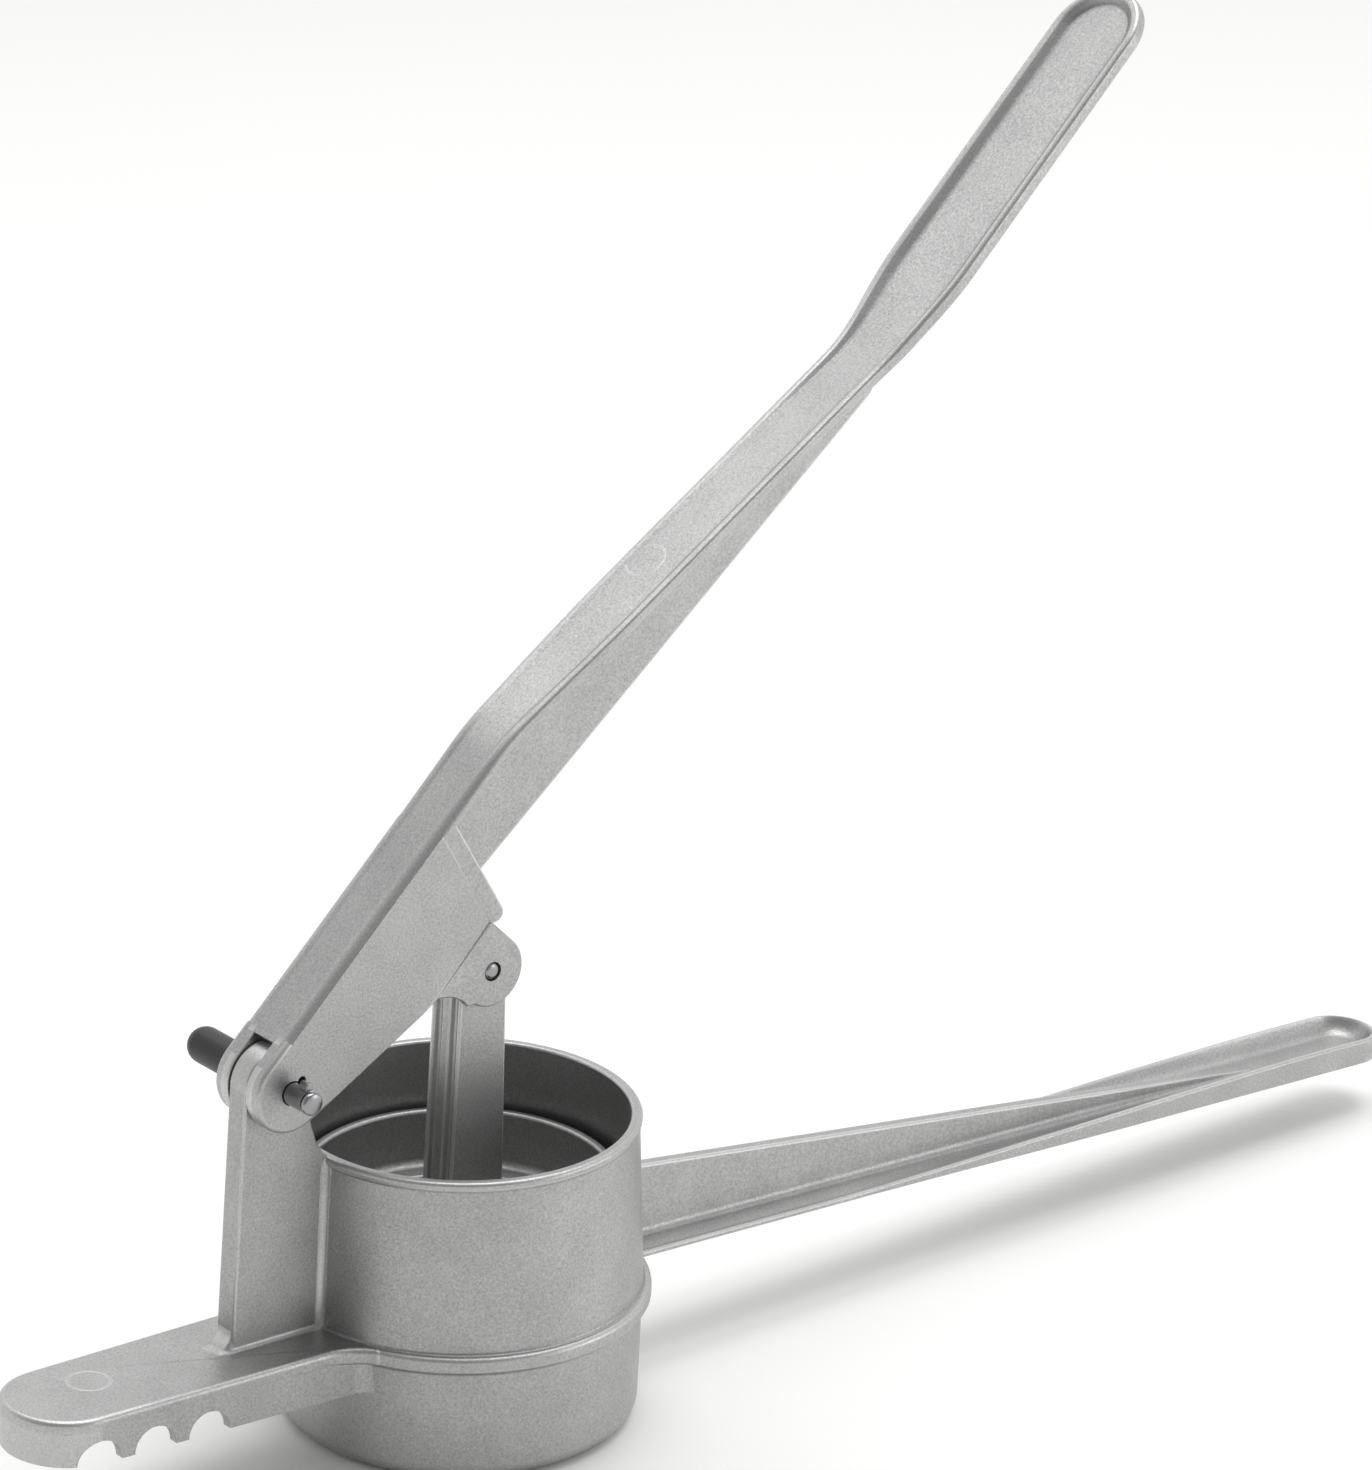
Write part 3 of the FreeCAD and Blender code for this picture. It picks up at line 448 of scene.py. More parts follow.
hollow_bm = bmesh.new()
add_slab(hollow_bm, rest_plan(REST_WALL, WAIST, SKIRT_CORNER), REST_LEVEL - rest_deep - 5,
         REST_LEVEL - REST_WALL)
cut_away(pot_rest, hollow_bm)

under_bm = bmesh.new()
low_tip = REST_LEVEL - REST_DEPTH_TIP
low_root = REST_LEVEL - REST_DEPTH_ROOT
add_plate(under_bm, [(-REST_TIP - 5, low_tip), (-30, low_root), (-30, -20), (-REST_TIP - 5, -20)],
          -60, 60)
cut_away(pot_rest, under_bm)

for i in range(3):
    notch_bm = bmesh.new()
    distance = NOTCH_FIRST - i * NOTCH_PITCH
    share = (REST_TIP - distance) / (REST_TIP - SHOULDER)
    level = REST_LEVEL - REST_DEPTH_TIP - (REST_DEPTH_ROOT - REST_DEPTH_TIP) * share
    add_plate(notch_bm, arc(-distance, level, NOTCH_RADIUS, 0, 360, 48)[:-1], -30, 30)
    cut_away(pot_rest, notch_bm)

for vert in pot_rest.data.vertices:
    reach = math.hypot(vert.co.x, vert.co.y) / MM
    taper = (WAIST - FOOT) * (1 - vert.co.z / MM / bead_base) / WAIST * (1 - ease(reach, 46, 70))
    vert.co.x *= 1 - taper
    vert.co.y *= 1 - taper

rest_edges = pot_rest.modifiers.new("die rounds", "BEVEL")
rest_edges.width = CAST_ROUND * MM
rest_edges.segments = 3
rest_edges.limit_method = "ANGLE"
rest_edges.angle_limit = math.radians(50)
keep_modified(pot_rest)

top_bm = bmesh.new()
add_slab(top_bm, rest_plan(0, BEAD_RADIUS, REST_CORNER), bead_base, REST_LEVEL + 0.02)
round_edges(top_bm, [e for e in top_bm.edges
                     if all(v.co.z > REST_LEVEL - 0.1 for v in e.verts)
                     and max(v.co.x for v in e.verts) < -30], REST_ROUND, 6)
round_edges(top_bm, [e for e in top_bm.edges
                     if all(v.co.z < bead_base + 0.01 for v in e.verts)
                     and max(v.co.x for v in e.verts) < -30], BEAD_ROUND, 4)
rest_top = make_object("rest_top", top_bm)
add_mesh(pot_rest, rest_top)


def ejector_mark(place, tilt):
    """Faint raised ring left by an ejector pin."""
    bm = turned([(EJECTOR - 0.7, -0.06), (EJECTOR - 0.2, 0.06), (EJECTOR + 0.2, 0.06),
                 (EJECTOR + 0.7, -0.06)], 48, closed=True)
    bmesh.ops.rotate(bm, cent=(0, 0, 0), matrix=Matrix.Rotation(tilt, 3, "Y"), verts=bm.verts)
    bmesh.ops.translate(bm, vec=place, verts=bm.verts)
    return make_object("ejector_mark", bm)


add_mesh(pot_rest, ejector_mark((-103.0, 2.8, REST_LEVEL + 0.02), 0.0))
for vert in pot_rest.data.vertices:
    vert.co.z += climb(vert.co.x / MM) * MM
finish_piece(pot_rest, "body", cast_aluminium, ["pot_rest"])

# ---------------------------------------------------------------- hinge post
# An upright plate on the rest, cast against the cup. Its foot sweeps out over the rest, and
# its round top is the middle lug of the hinge.

POST_HALF = (post_high.y - post_low.y) / 2
LUG_RADIUS = 9.4
POST_FRONT = 67.6
POST_SWEEP = 5.0
POST_SIDE_SWEEP = 1.3
POST_EDGE = 0.7
WALL_SWEEP = 1.7

pin_low, pin_high = in_millimetres("hinge_pin")
HINGE = Vector(((pin_low.x + pin_high.x) / 2, 0, (pin_low.z + pin_high.z) / 2))

post_outline = (
    [(-40.5, REST_LEVEL - 1), (-POST_FRONT, REST_LEVEL - 1), (-POST_FRONT, REST_LEVEL + POST_SWEEP)]
    + arc(HINGE.x, HINGE.z, LUG_RADIUS, 180, 0, 36)
    + [(-46.2, 90.0), (-45.4, 84.0), (-44.0, 79.5), (-42.2, 76.4), (-40.5, 75.0)]
)
post_bm = bmesh.new()
add_plate(post_bm, post_outline, -POST_HALF, POST_HALF)
round_edges(post_bm, [e for e in post_bm.edges
                      if abs(e.verts[0].co.y - e.verts[1].co.y) < 0.01], POST_EDGE, 4)


def join_rings(bm, rings):
    """Closed skin through rings of points that have the same count, with its two ends capped."""
    made = []
    for ring in rings:
        verts = [bm.verts.new(p) for p in ring]
        edges = [bm.edges.new((verts[i - 1], verts[i])) for i in range(len(verts))]
        made.append((verts, edges))
    for (_, below), (_, above) in zip(made, made[1:]):
        bmesh.ops.bridge_loops(bm, edges=below + above)
    bm.faces.new(made[0][0])
    bm.faces.new(made[-1][0])


def foot_ring(share):
    """Plan of the post's foot at a share of the sweep's quarter turn, from the top down."""
    angle = math.radians(90 * share)
    front = POST_FRONT + POST_SWEEP * (1 - math.cos(angle)) - 0.02
    side = POST_HALF + POST_SIDE_SWEEP * (1 - math.cos(angle)) - 0.02
    level = REST_LEVEL + POST_SWEEP * (1 - math.sin(angle))
    low = REST_LEVEL + POST_SIDE_SWEEP * (1 - math.sin(angle))
    corner = POST_EDGE + 1.6 * (1 - math.cos(angle))
    ring = [(-40.5, side, low)]
    for step in range(7):
        turn = math.radians(90 * step / 6)
        x = -front + corner - corner * math.sin(turn)
        y = side - corner + corner * math.cos(turn)
        ring.append((x, y, low + (level - low) * (step / 6) ** 2))
    ring = [(x, y, z + climb(x)) for x, y, z in ring]
    return ring + [(x, -y, z) for x, y, z in reversed(ring)]


join_rings(post_bm, [foot_ring(i / 8) for i in range(9)]
           + [[(x, y, REST_LEVEL - 1) for x, y, z in foot_ring(1)]])


def wall_ring(level, side, sweep):
    """Concave corner between the post's side and the cup's wall at one level."""
    share = (level - REST_LEVEL) / (CUP_TOP - REST_LEVEL)
    wall = SHOULDER + (LIP_RADIUS - 0.4 - SHOULDER) * share
    centre_y = POST_HALF + sweep
    centre_x = math.sqrt((wall + sweep) ** 2 - centre_y ** 2)
    turn = math.degrees(math.atan2(centre_y, centre_x))
    ring = [(x, side * y, level) for x, y in arc(-centre_x, centre_y, sweep, -90, -turn, 8)]
    return ring + [(-wall + 1.5, side * centre_y, level), (-wall + 1.5, side, level),
                   (-centre_x - 0.5, side, level)]


for side in (-1, 1):
    join_rings(post_bm, [wall_ring(REST_LEVEL - 0.5, side, WALL_SWEEP),
                         wall_ring(CUP_TOP - 4.0, side, WALL_SWEEP),
                         wall_ring(CUP_TOP - 1.5, side, WALL_SWEEP * 0.8),
                         wall_ring(CUP_TOP - 0.3, side, WALL_SWEEP * 0.3)])

hinge_post = make_object("hinge_post", post_bm)
finish_piece(hinge_post, "body", cast_aluminium, ["hinge_post"])

# ---------------------------------------------------------------- fixed handle
# The lower handle, cast on the cup: a flange with an upright web that fades out where the
# flange's sides curl up into a hand trough with a round end.

handle_high = in_millimetres("handle_trough")[1]
HANDLE_TIP = handle_high.x
FLANGE_LEVEL = 31.5
HANDLE_FALL = 0.0527
FLANGE_HALF = 9.0
FLANGE_THICK = 2.4
WEB_LEVEL = 54.4
WEB_FALL = 0.1407
WEB_HALF = 1.8
TROUGH_HALF = 9.9
TROUGH_RISE = 4.2
FLANGE_SLOPE = 0.9               # fall of the flange from the web to its edge
HANDLE_SWEEP = 2.5


def carry(bm, chain, edges, places):
    """Extrude an open chain of edges and put its new points at the given places."""
    grown = bmesh.ops.extrude_edge_only(bm, edges=edges)["geom"]
    fresh = {g for g in grown if isinstance(g, bmesh.types.BMVert)}
    new_chain = []
    for vert in chain:
        twin = next(e.other_vert(vert) for e in vert.link_edges if e.other_vert(vert) in fresh)
        new_chain.append(twin)
    for vert, place in zip(new_chain, places):
        vert.co = place
    new_edges = [e for e in (bm.edges.get(pair) for pair in zip(new_chain, new_chain[1:])) if e]
    return new_chain, new_edges


def half_bar(stations, sections, tip_centre):
    """Half of a long bar on its y >= 0 side: sections of (y, n) points at each station,
    then a round end spun about an upright through the last one."""
    bm = bmesh.new()
    chain = [bm.verts.new((stations[0], y, n)) for y, n in sections[0]]
    bm.faces.new(chain)
    edges = [bm.edges.get(pair) for pair in zip(chain, chain[1:])]
    for station, section in zip(stations[1:], sections[1:]):
        chain, edges = carry(bm, chain, edges, [(station, y, n) for y, n in section])
    if tip_centre is not None:
        bmesh.ops.spin(bm, geom=chain + edges, cent=(tip_centre, 0, 0), axis=(0, 0, -1),
                       dvec=(0, 0, 0), angle=math.pi / 2, steps=14, use_merge=False,
                       use_duplicate=False)
    else:
        bm.faces.new(chain)
    bmesh.ops.remove_doubles(bm, verts=bm.verts, dist=0.0005)
    return bm


def mirrored(bm):
    """Add the y < 0 side and weld the two halves."""
    for vert in bm.verts:
        if abs(vert.co.y) < 0.001:
            vert.co.y = 0.0
    middle = [f for f in bm.faces if all(v.co.y == 0.0 for v in f.verts)]
    bmesh.ops.delete(bm, geom=middle, context="FACES")
    bmesh.ops.mirror(bm, geom=bm.verts[:] + bm.edges[:] + bm.faces[:], merge_dist=0.0005,
                     axis="Y")
    return bm


def handle_section(x):
    """Half section of the handle about the flange's top face."""
    web = max(0.0, (WEB_LEVEL - FLANGE_LEVEL) - (WEB_FALL - HANDLE_FALL) * x)
    web_share = min(1.0, web / 5.0)
    curl = ease(x, 105, 225)
    half = FLANGE_HALF + (TROUGH_HALF - FLANGE_HALF) * ease(x, 120, 210)
    rise = TROUGH_RISE * (0.55 * curl + 0.45 * ease(x, 190, 285))
    root = 2.0 * web_share
    points = [(0, web), (WEB_HALF * 0.5, web - 0.05 * web_share)]
    points += [(y, web - web_share * (0.9 - 0.9 * math.sin(a)))
               for y, a in ((WEB_HALF - 0.9 + 0.9 * math.cos(math.radians(d)), math.radians(d))
                            for d in (70, 45, 20, 0))]
    for d in (0, 18, 36, 54, 72, 90):
        a = math.radians(d)
        points.append((WEB_HALF + 0.15 + 2.0 - 2.0 * math.cos(a), min(web, root - root * math.sin(a))))
    start = points[-1][0]
    end = half - 1.1
    fall = FLANGE_SLOPE * (1 - curl)
    for i in range(1, 10):
        share = i / 9
        points.append((start + (end - start) * share, rise * share ** 2.2 - fall * share))
    rise -= fall
    edge = 0.7
    points += arc(half - edge, rise - edge, edge, 80, 0, 5)
    points.append((half, (rise - FLANGE_THICK) / 2))
    low = 0.5
    points += arc(half - low, -FLANGE_THICK + low, low, 0, -90, 5)
    points += [(half * 0.6, -FLANGE_THICK), (0, -FLANGE_THICK)]
    return points


handle_centre = HANDLE_TIP - TROUGH_HALF
handle_stations = [40.5, 42.0, 43.0, 43.3, 43.7, 44.2, 44.8, 45.6, 47.0]
handle_stations += [50 + (handle_centre - 50) * i / 80 for i in range(81)]
handle_sections = []
for x in handle_stations:
    sweep = max(0.0, 1 - (x - SHOULDER + 0.3) / HANDLE_SWEEP)
    spread = HANDLE_SWEEP * (1 - math.sqrt(max(0.0, 1 - min(1.0, sweep) ** 2)))
    section = handle_section(x)
    if spread > 0:
        top = section[0][1]
        section = [(y + (spread if y > 0.01 else 0), n + (spread if n > top - 1 else 0)
                    - (spread if n < -FLANGE_THICK + 1 else 0)) for y, n in section]
    handle_sections.append(section)
handle_bm = mirrored(half_bar(handle_stations, handle_sections, handle_centre))
for vert in handle_bm.verts:
    x, y, n = vert.co
    bow = SHOULDER - math.sqrt(SHOULDER ** 2 - y ** 2)
    vert.co = (x - bow * (1 - ease(x, 44, 70)), y, n + FLANGE_LEVEL - HANDLE_FALL * x)
fixed_handle = make_object("fixed_handle", handle_bm)
finish_piece(fixed_handle, "body", cast_aluminium,
             ["handle_flange", "handle_web", "handle_trough"])

# ---------------------------------------------------------------- lever
# The upper lever, a second casting: a dished strip with a raised rim that widens into the
# grip, a web under the arm, and two cheeks that hang from it round the post and the plunger.

grip_high = in_millimetres("lever_grip")[1]
rivet_low, rivet_high = in_millimetres("plunger_rivet")
PIVOT = Vector(((rivet_low.x + rivet_high.x) / 2, 0, (rivet_low.z + rivet_high.z) / 2))
LEVER_HALF = rivet_high.y
GRIP_HALF = grip_high.y
EAR_RADIUS = 9.8
ROOT_ANGLE = math.radians(43.9)
ARM_ANGLE = math.radians(32.8)
GRIP_ANGLE = math.radians(44.4)
FIRST_BEND_X = 5.1
SECOND_BEND_X = 116.8
GRIP_TIP_X = 192.8
BEND_RADIUS = 60.0
FLANGE_DEEP = 2.8
GRIP_DEEP = 3.6
ARM_HALF = 9.4
LEVER_ROUND = 1.0                # along the arm
EAR_ROUND = 2.2                  # round the ears and along the cheeks


def along(angle):
    return Vector((math.cos(angle), 0, math.sin(angle)))


def above(angle):
    return Vector((-math.sin(angle), 0, math.cos(angle)))


root_start = HINGE + above(ROOT_ANGLE) * EAR_RADIUS
first_bend = root_start + along(ROOT_ANGLE) * (
    (FIRST_BEND_X - root_start.x) / math.cos(ROOT_ANGLE))
second_bend = first_bend + along(ARM_ANGLE) * ((SECOND_BEND_X - FIRST_BEND_X) / math.cos(ARM_ANGLE))
ROOT_LENGTH = (first_bend - root_start).length
ARM_LENGTH = (second_bend - first_bend).length
GRIP_LENGTH = (GRIP_TIP_X - SECOND_BEND_X) / math.cos(GRIP_ANGLE)
LEVER_LENGTH = ROOT_LENGTH + ARM_LENGTH + GRIP_LENGTH


def lever_place(s, y, n):
    """Point of the lever from its distance along the top line, across it and above it."""
    bends = ((ROOT_LENGTH, first_bend, ROOT_ANGLE, ARM_ANGLE),
             (ROOT_LENGTH + ARM_LENGTH, second_bend, ARM_ANGLE, GRIP_ANGLE))
    for at, corner, before, after in bends:
        back = BEND_RADIUS * math.tan(abs(after - before) / 2)
        if abs(s - at) < back:
            share = (s - at + back) / (2 * back)
            angle = before + (after - before) * share
            sense = 1 if after > before else -1
            centre = corner - along(before) * back + above(before) * BEND_RADIUS * sense
            place = centre - above(angle) * BEND_RADIUS * sense
            return place + above(angle) * n + Vector((0, y, 0))
    if s < ROOT_LENGTH:
        place, angle = root_start + along(ROOT_ANGLE) * s, ROOT_ANGLE
    elif s < ROOT_LENGTH + ARM_LENGTH:
        place, angle = first_bend + along(ARM_ANGLE) * (s - ROOT_LENGTH), ARM_ANGLE
    else:
        place = second_bend + along(GRIP_ANGLE) * (s - ROOT_LENGTH - ARM_LENGTH)
        angle = GRIP_ANGLE
    return place + above(angle) * n + Vector((0, y, 0))


SLOT_END = (-57.0 - root_start.x) / math.cos(ROOT_ANGLE)
ARM_END = ROOT_LENGTH + ARM_LENGTH


def lever_section(s):
    """Half section of the lever's strip about its top line."""
    wide = ease(s, ARM_END - 8, ARM_END + 26)
    arm = LEVER_HALF - 0.02 + (ARM_HALF - LEVER_HALF) * ease(s, ROOT_LENGTH, ROOT_LENGTH + 45)
    half = arm + (GRIP_HALF - arm) * wide
    deep = FLANGE_DEEP + (GRIP_DEEP - FLANGE_DEEP) * ease(s, ARM_END - 24, ARM_END + 20)
    dish = 0.15 + 0.5 * ease(s, ROOT_LENGTH * 0.6, ROOT_LENGTH + 40) + 1.25 * ease(
        s, ARM_END - 40, ARM_END + 30)
    dish *= ease(s, SLOT_END + 2, SLOT_END + 16)
    rim = 1.5 + 0.9 * (1 - ease(s, ROOT_LENGTH * 0.7, ROOT_LENGTH + 25))
    slope = 1.4 + 1.2 * wide
    floor_end = half - rim - slope
    points = [(0, -dish), (floor_end * 0.5, -dish), (floor_end * 0.9, -dish)]
    for share, height in ((0, 0.99), (0.2, 0.9), (0.45, 0.58), (0.7, 0.24), (0.88, 0.06), (1.1, 0)):
        points.append((floor_end + slope * share, -dish * height))
    edge = EAR_ROUND + (LEVER_ROUND - EAR_ROUND) * ease(s, ROOT_LENGTH * 0.7, ROOT_LENGTH + 25)
    points += arc(half - edge, -edge, edge, 82, 0, 7)
    foot = min(0.7, (deep - edge) * 0.7)
    points += arc(half - foot, -deep + foot, foot, 0, -90, 4)
    wall = 2.2
    hollow = max(0.0, deep - dish - 2.6)
    points += [(half - wall, -deep), (half - wall - 0.5, -deep + hollow * 0.5),
               (half - wall - 1.3, -deep + hollow), (half * 0.4, -deep + hollow),
               (0, -deep + hollow)]
    return points


grip_centre = LEVER_LENGTH - GRIP_HALF
lever_stations = [SLOT_END + (grip_centre - SLOT_END) * i / 130 for i in range(131)]
lever_bm = mirrored(half_bar(lever_stations, [lever_section(s) for s in lever_stations],
                             grip_centre))
for vert in lever_bm.verts:
    vert.co = lever_place(*vert.co)

# The web under the arm, cut off square to the end wall, and the round between it and the strip.
WEB_LOW = Vector((3.7, 0, 134.8))
WEB_SLOPE = math.radians(39.3)
WALL_TOP = Vector((-11.7, 0, 146.5))
WALL_FOOT = Vector((1.2, 0, 124.6))
WEB_ROUND = 1.6
wall_up = (WALL_TOP - WALL_FOOT).normalized()
wall_out = Vector((wall_up.z, 0, -wall_up.x))
web_reach = -FLANGE_DEEP + 0.5
web_top = [lever_place(s, 0, web_reach) for s in lever_stations if ROOT_LENGTH - 22 < s < ARM_END + 4]
web_end = WEB_LOW + along(WEB_SLOPE) * 146.0
wall_middle = WALL_FOOT + wall_out * 2.3
web_corner = wall_middle + wall_up * ((WEB_LOW - wall_middle).dot(above(WEB_SLOPE))
                                      / wall_up.dot(above(WEB_SLOPE)))
web_outline = [(p.x, p.z) for p in [web_corner, web_end] + web_top[::-1]]
web_bm = bmesh.new()
add_plate(web_bm, web_outline, -WEB_HALF, WEB_HALF)
lower = above(WEB_SLOPE)
round_edges(web_bm, [e for e in web_bm.edges
                     if all(abs((v.co - WEB_LOW).dot(lower)) < 0.2 for v in e.verts)
                     and abs(e.verts[0].co.y - e.verts[1].co.y) < 0.01], 0.9, 4)


def root_section(s):
    """Half section of the concave round that joins the web to the strip's underside."""
    level = -FLANGE_DEEP + 0.1
    return ([(0, level + 0.6), (WEB_HALF + WEB_ROUND, level + 0.6)]
            + arc(WEB_HALF + WEB_ROUND, level - WEB_ROUND, WEB_ROUND, 90, 180, 7)
            + [(0, level - WEB_ROUND)])


root_stations = [s for s in lever_stations if ROOT_LENGTH - 16 < s < ARM_END - 8]
root_bm = mirrored(half_bar(root_stations, [root_section(s) for s in root_stations], None))
for vert in root_bm.verts:
    vert.co = lever_place(*vert.co)
root_mesh = bpy.data.meshes.new("web_root")
root_bm.to_mesh(root_mesh)
root_bm.free()
web_bm.from_mesh(root_mesh)
lever_strip = make_object("lever_strip", lever_bm)
mark_at = ROOT_LENGTH + (53.0 - FIRST_BEND_X) / math.cos(ARM_ANGLE)
add_mesh(lever_strip, ejector_mark(lever_place(mark_at, 3.0, lever_section(mark_at)[0][1]),
                                   -ARM_ANGLE))
finish_piece(lever_strip, "lever", cast_aluminium, ["lever_flange", "lever_grip"])
lever_web = make_object("lever_web", web_bm)
finish_piece(lever_web, "lever", cast_aluminium, ["lever_web"])

# ---------------------------------------------------------------- cheeks
# Two side plates with the hinge ears at one end and the plunger's rivet at the other, and the
# end wall between them. A step across each plate leaves the rivet's lobe a little lower.

CHEEK_THICK = 2.4
STEP_DEEP = 0.35
CHEEK_ROUND = 0.8
LOBE_RADIUS = 8.6
EAR_GAP = 0.3
PIN_HOLE = 2.95
KEY_REACH = 4.4
KEYWAY = math.radians(43)
RIVET_HOLE = 2.35
STRIP_LAP = 1.1                  # the plates stop this far below the strip's top


def flat_of(place):
    return place.x, place.z


def on_circle(centre, radius, start, end, steps):
    return arc(centre.x, centre.z, radius, start, end, steps)


wall_reach = ((root_start - above(ROOT_ANGLE) * STRIP_LAP) - WALL_FOOT).dot(above(ROOT_ANGLE))
wall_reach /= wall_up.dot(above(ROOT_ANGLE))
root_degrees = math.degrees(ROOT_ANGLE)
cheek_outline = (
    on_circle(HINGE, EAR_RADIUS, -62, -(270 - root_degrees), 40)
    + [flat_of(root_start + along(ROOT_ANGLE) * 8),
       flat_of(root_start + along(ROOT_ANGLE) * 8 - above(ROOT_ANGLE) * STRIP_LAP),
       flat_of(WALL_FOOT + wall_up * wall_reach)]
    + [flat_of(WALL_FOOT)]
    + on_circle(PIVOT, LOBE_RADIUS, 40, -125, 30)
    + [(-4.9, 104.7), (-6.1, 106.1), (-7.6, 107.1), (-9.0, 107.9), (-10.5, 108.3), (-13.3, 108.7)]
)
boss_outline = (
    on_circle(HINGE, EAR_RADIUS - 0.02, 25, -(270 - root_degrees), 44)
    + [flat_of(root_start + along(ROOT_ANGLE) * 8 - above(ROOT_ANGLE) * 0.02),
       flat_of(root_start + along(ROOT_ANGLE) * 8 - above(ROOT_ANGLE) * 8)]
)
STEP_TOP = Vector((-0.1, 0, 123.2))
STEP_FOOT = Vector((-12.7, 0, 110.8))
step_way = (STEP_TOP - STEP_FOOT).normalized()
step_out = Vector((step_way.z, 0, -step_way.x))


def plate_edge_round(edge):
    """How round the die left an edge of the cheek's outer face."""
    middle = (edge.verts[0].co + edge.verts[1].co) / 2
    flat = Vector((middle.x, 0, middle.z))
    lower = (flat - root_start).dot(above(ROOT_ANGLE))
    s = (flat - root_start).dot(along(ROOT_ANGLE))
    if lower < -0.3 and lower > -STRIP_LAP - 0.1 and s > 7:
        return 0.0
    if lower > -0.3 and s > -1.0:
        return EAR_ROUND
    reach = (flat - HINGE).length
    if abs(reach - EAR_RADIUS) < 0.2:
        return EAR_ROUND
    return CHEEK_ROUND


for side, name in ((-1, "near"), (1, "far")):
    bm = bmesh.new()
    add_plate(bm, cheek_outline, LEVER_HALF - CHEEK_THICK, LEVER_HALF)
    for offset in (-0.5, 0.5):
        bmesh.ops.bisect_plane(bm, geom=bm.verts[:] + bm.edges[:] + bm.faces[:],
                               plane_co=STEP_FOOT + step_out * offset, plane_no=step_out)
    for vert in bm.verts:
        beyond = (Vector((vert.co.x, 0, vert.co.z)) - STEP_FOOT).dot(step_out)
        if vert.co.y > LEVER_HALF - 0.01 and beyond > 0:
            vert.co.y -= STEP_DEEP
    bmesh.ops.recalc_face_normals(bm, faces=bm.faces)
    weight = bm.edges.layers.float.new("bevel_weight_edge")
    for edge in bm.edges:
        facing = sorted(abs(f.normal.y) for f in edge.link_faces)
        if facing[0] < 0.1 and facing[1] > 0.9:
            outside = edge.verts[0].co.y > LEVER_HALF - 1.0
            edge[weight] = plate_edge_round(edge) / EAR_ROUND if outside else 0.05
    cheek = make_object("cheek_" + name, bm)
    cheek_edges = cheek.modifiers.new("die rounds", "BEVEL")
    cheek_edges.limit_method = "WEIGHT"
    cheek_edges.width = EAR_ROUND * MM
    cheek_edges.segments = 6
    keep_modified(cheek)

    bm = bmesh.new()
    add_plate(bm, boss_outline, POST_HALF + EAR_GAP, LEVER_HALF - 1.6)
    round_edges(bm, [e for e in bm.edges if all(v.co.y < POST_HALF + EAR_GAP + 0.01 for v in e.verts)],
                0.4, 3)
    boss = make_object("boss", bm)

    hole_x = HINGE.x + (KEY_REACH - 0.85) * math.cos(KEYWAY)
    hole_z = HINGE.z + (KEY_REACH - 0.85) * math.sin(KEYWAY)
    for drilled in (cheek, boss):
        for x, z, radius in ((HINGE.x, HINGE.z, PIN_HOLE), (hole_x, hole_z, 1.1),
                             (PIVOT.x, PIVOT.z, RIVET_HOLE)):
            drill = bmesh.new()
            add_plate(drill, arc(x, z, radius, 0, 360, 40)[:-1], 0, 20)
            cut_away(drilled, drill)
    add_mesh(cheek, boss)

    bm = bmesh.new()
    bm.from_mesh(cheek.data)
    bmesh.ops.scale(bm, vec=(1 / MM, 1 / MM, 1 / MM), verts=bm.verts)
    if side < 0:
        bmesh.ops.scale(bm, vec=(1, -1, 1), verts=bm.verts)
        bmesh.ops.reverse_faces(bm, faces=bm.faces)
    bpy.data.objects.remove(cheek)
    cheek = make_object("cheek_" + name, bm)
    finish_piece(cheek, "lever", cast_aluminium, ["lever_cheek_" + name])

# The end wall closes the cheeks on the arm's side and ends in a round foot over the rivet.
WALL_THICK = 4.6
WALL_LAP = 1.6                   # the wall runs up into the strip to here
wall_half = LEVER_HALF - 0.7
wall_corner = WALL_FOOT + wall_out * WALL_THICK
foot_start = math.degrees(math.atan2(wall_out.z, wall_out.x))


def up_to_strip(place):
    """The point straight up the wall from the place, WALL_LAP below the strip's top."""
    rise = (root_start - above(ROOT_ANGLE) * WALL_LAP - place).dot(above(ROOT_ANGLE))
    return place + wall_up * rise / wall_up.dot(above(ROOT_ANGLE))


wall_outline = (
    [flat_of(up_to_strip(WALL_FOOT))]
    + [flat_of(WALL_FOOT - wall_out * 1.0 - wall_up * 1.0)]
    + on_circle(wall_middle, WALL_THICK / 2, foot_start - 120, foot_start, 10)
    + [flat_of(up_to_strip(wall_corner))]
)
bm = bmesh.new()
add_plate(bm, wall_outline, -wall_half, wall_half)
round_edges(bm, [e for e in bm.edges if abs(e.verts[0].co.y - e.verts[1].co.y) < 0.01], 0.6, 3)
end_wall = make_object("lever_end_wall", bm)
finish_piece(end_wall, "lever", cast_aluminium, ["lever_end_wall"])

# ---------------------------------------------------------------- rivet
# A drawn steel pin through the lobes and the plunger's eye, turned bright and domed at its ends.

RIVET_RADIUS = (rivet_high.x - rivet_low.x) / 2

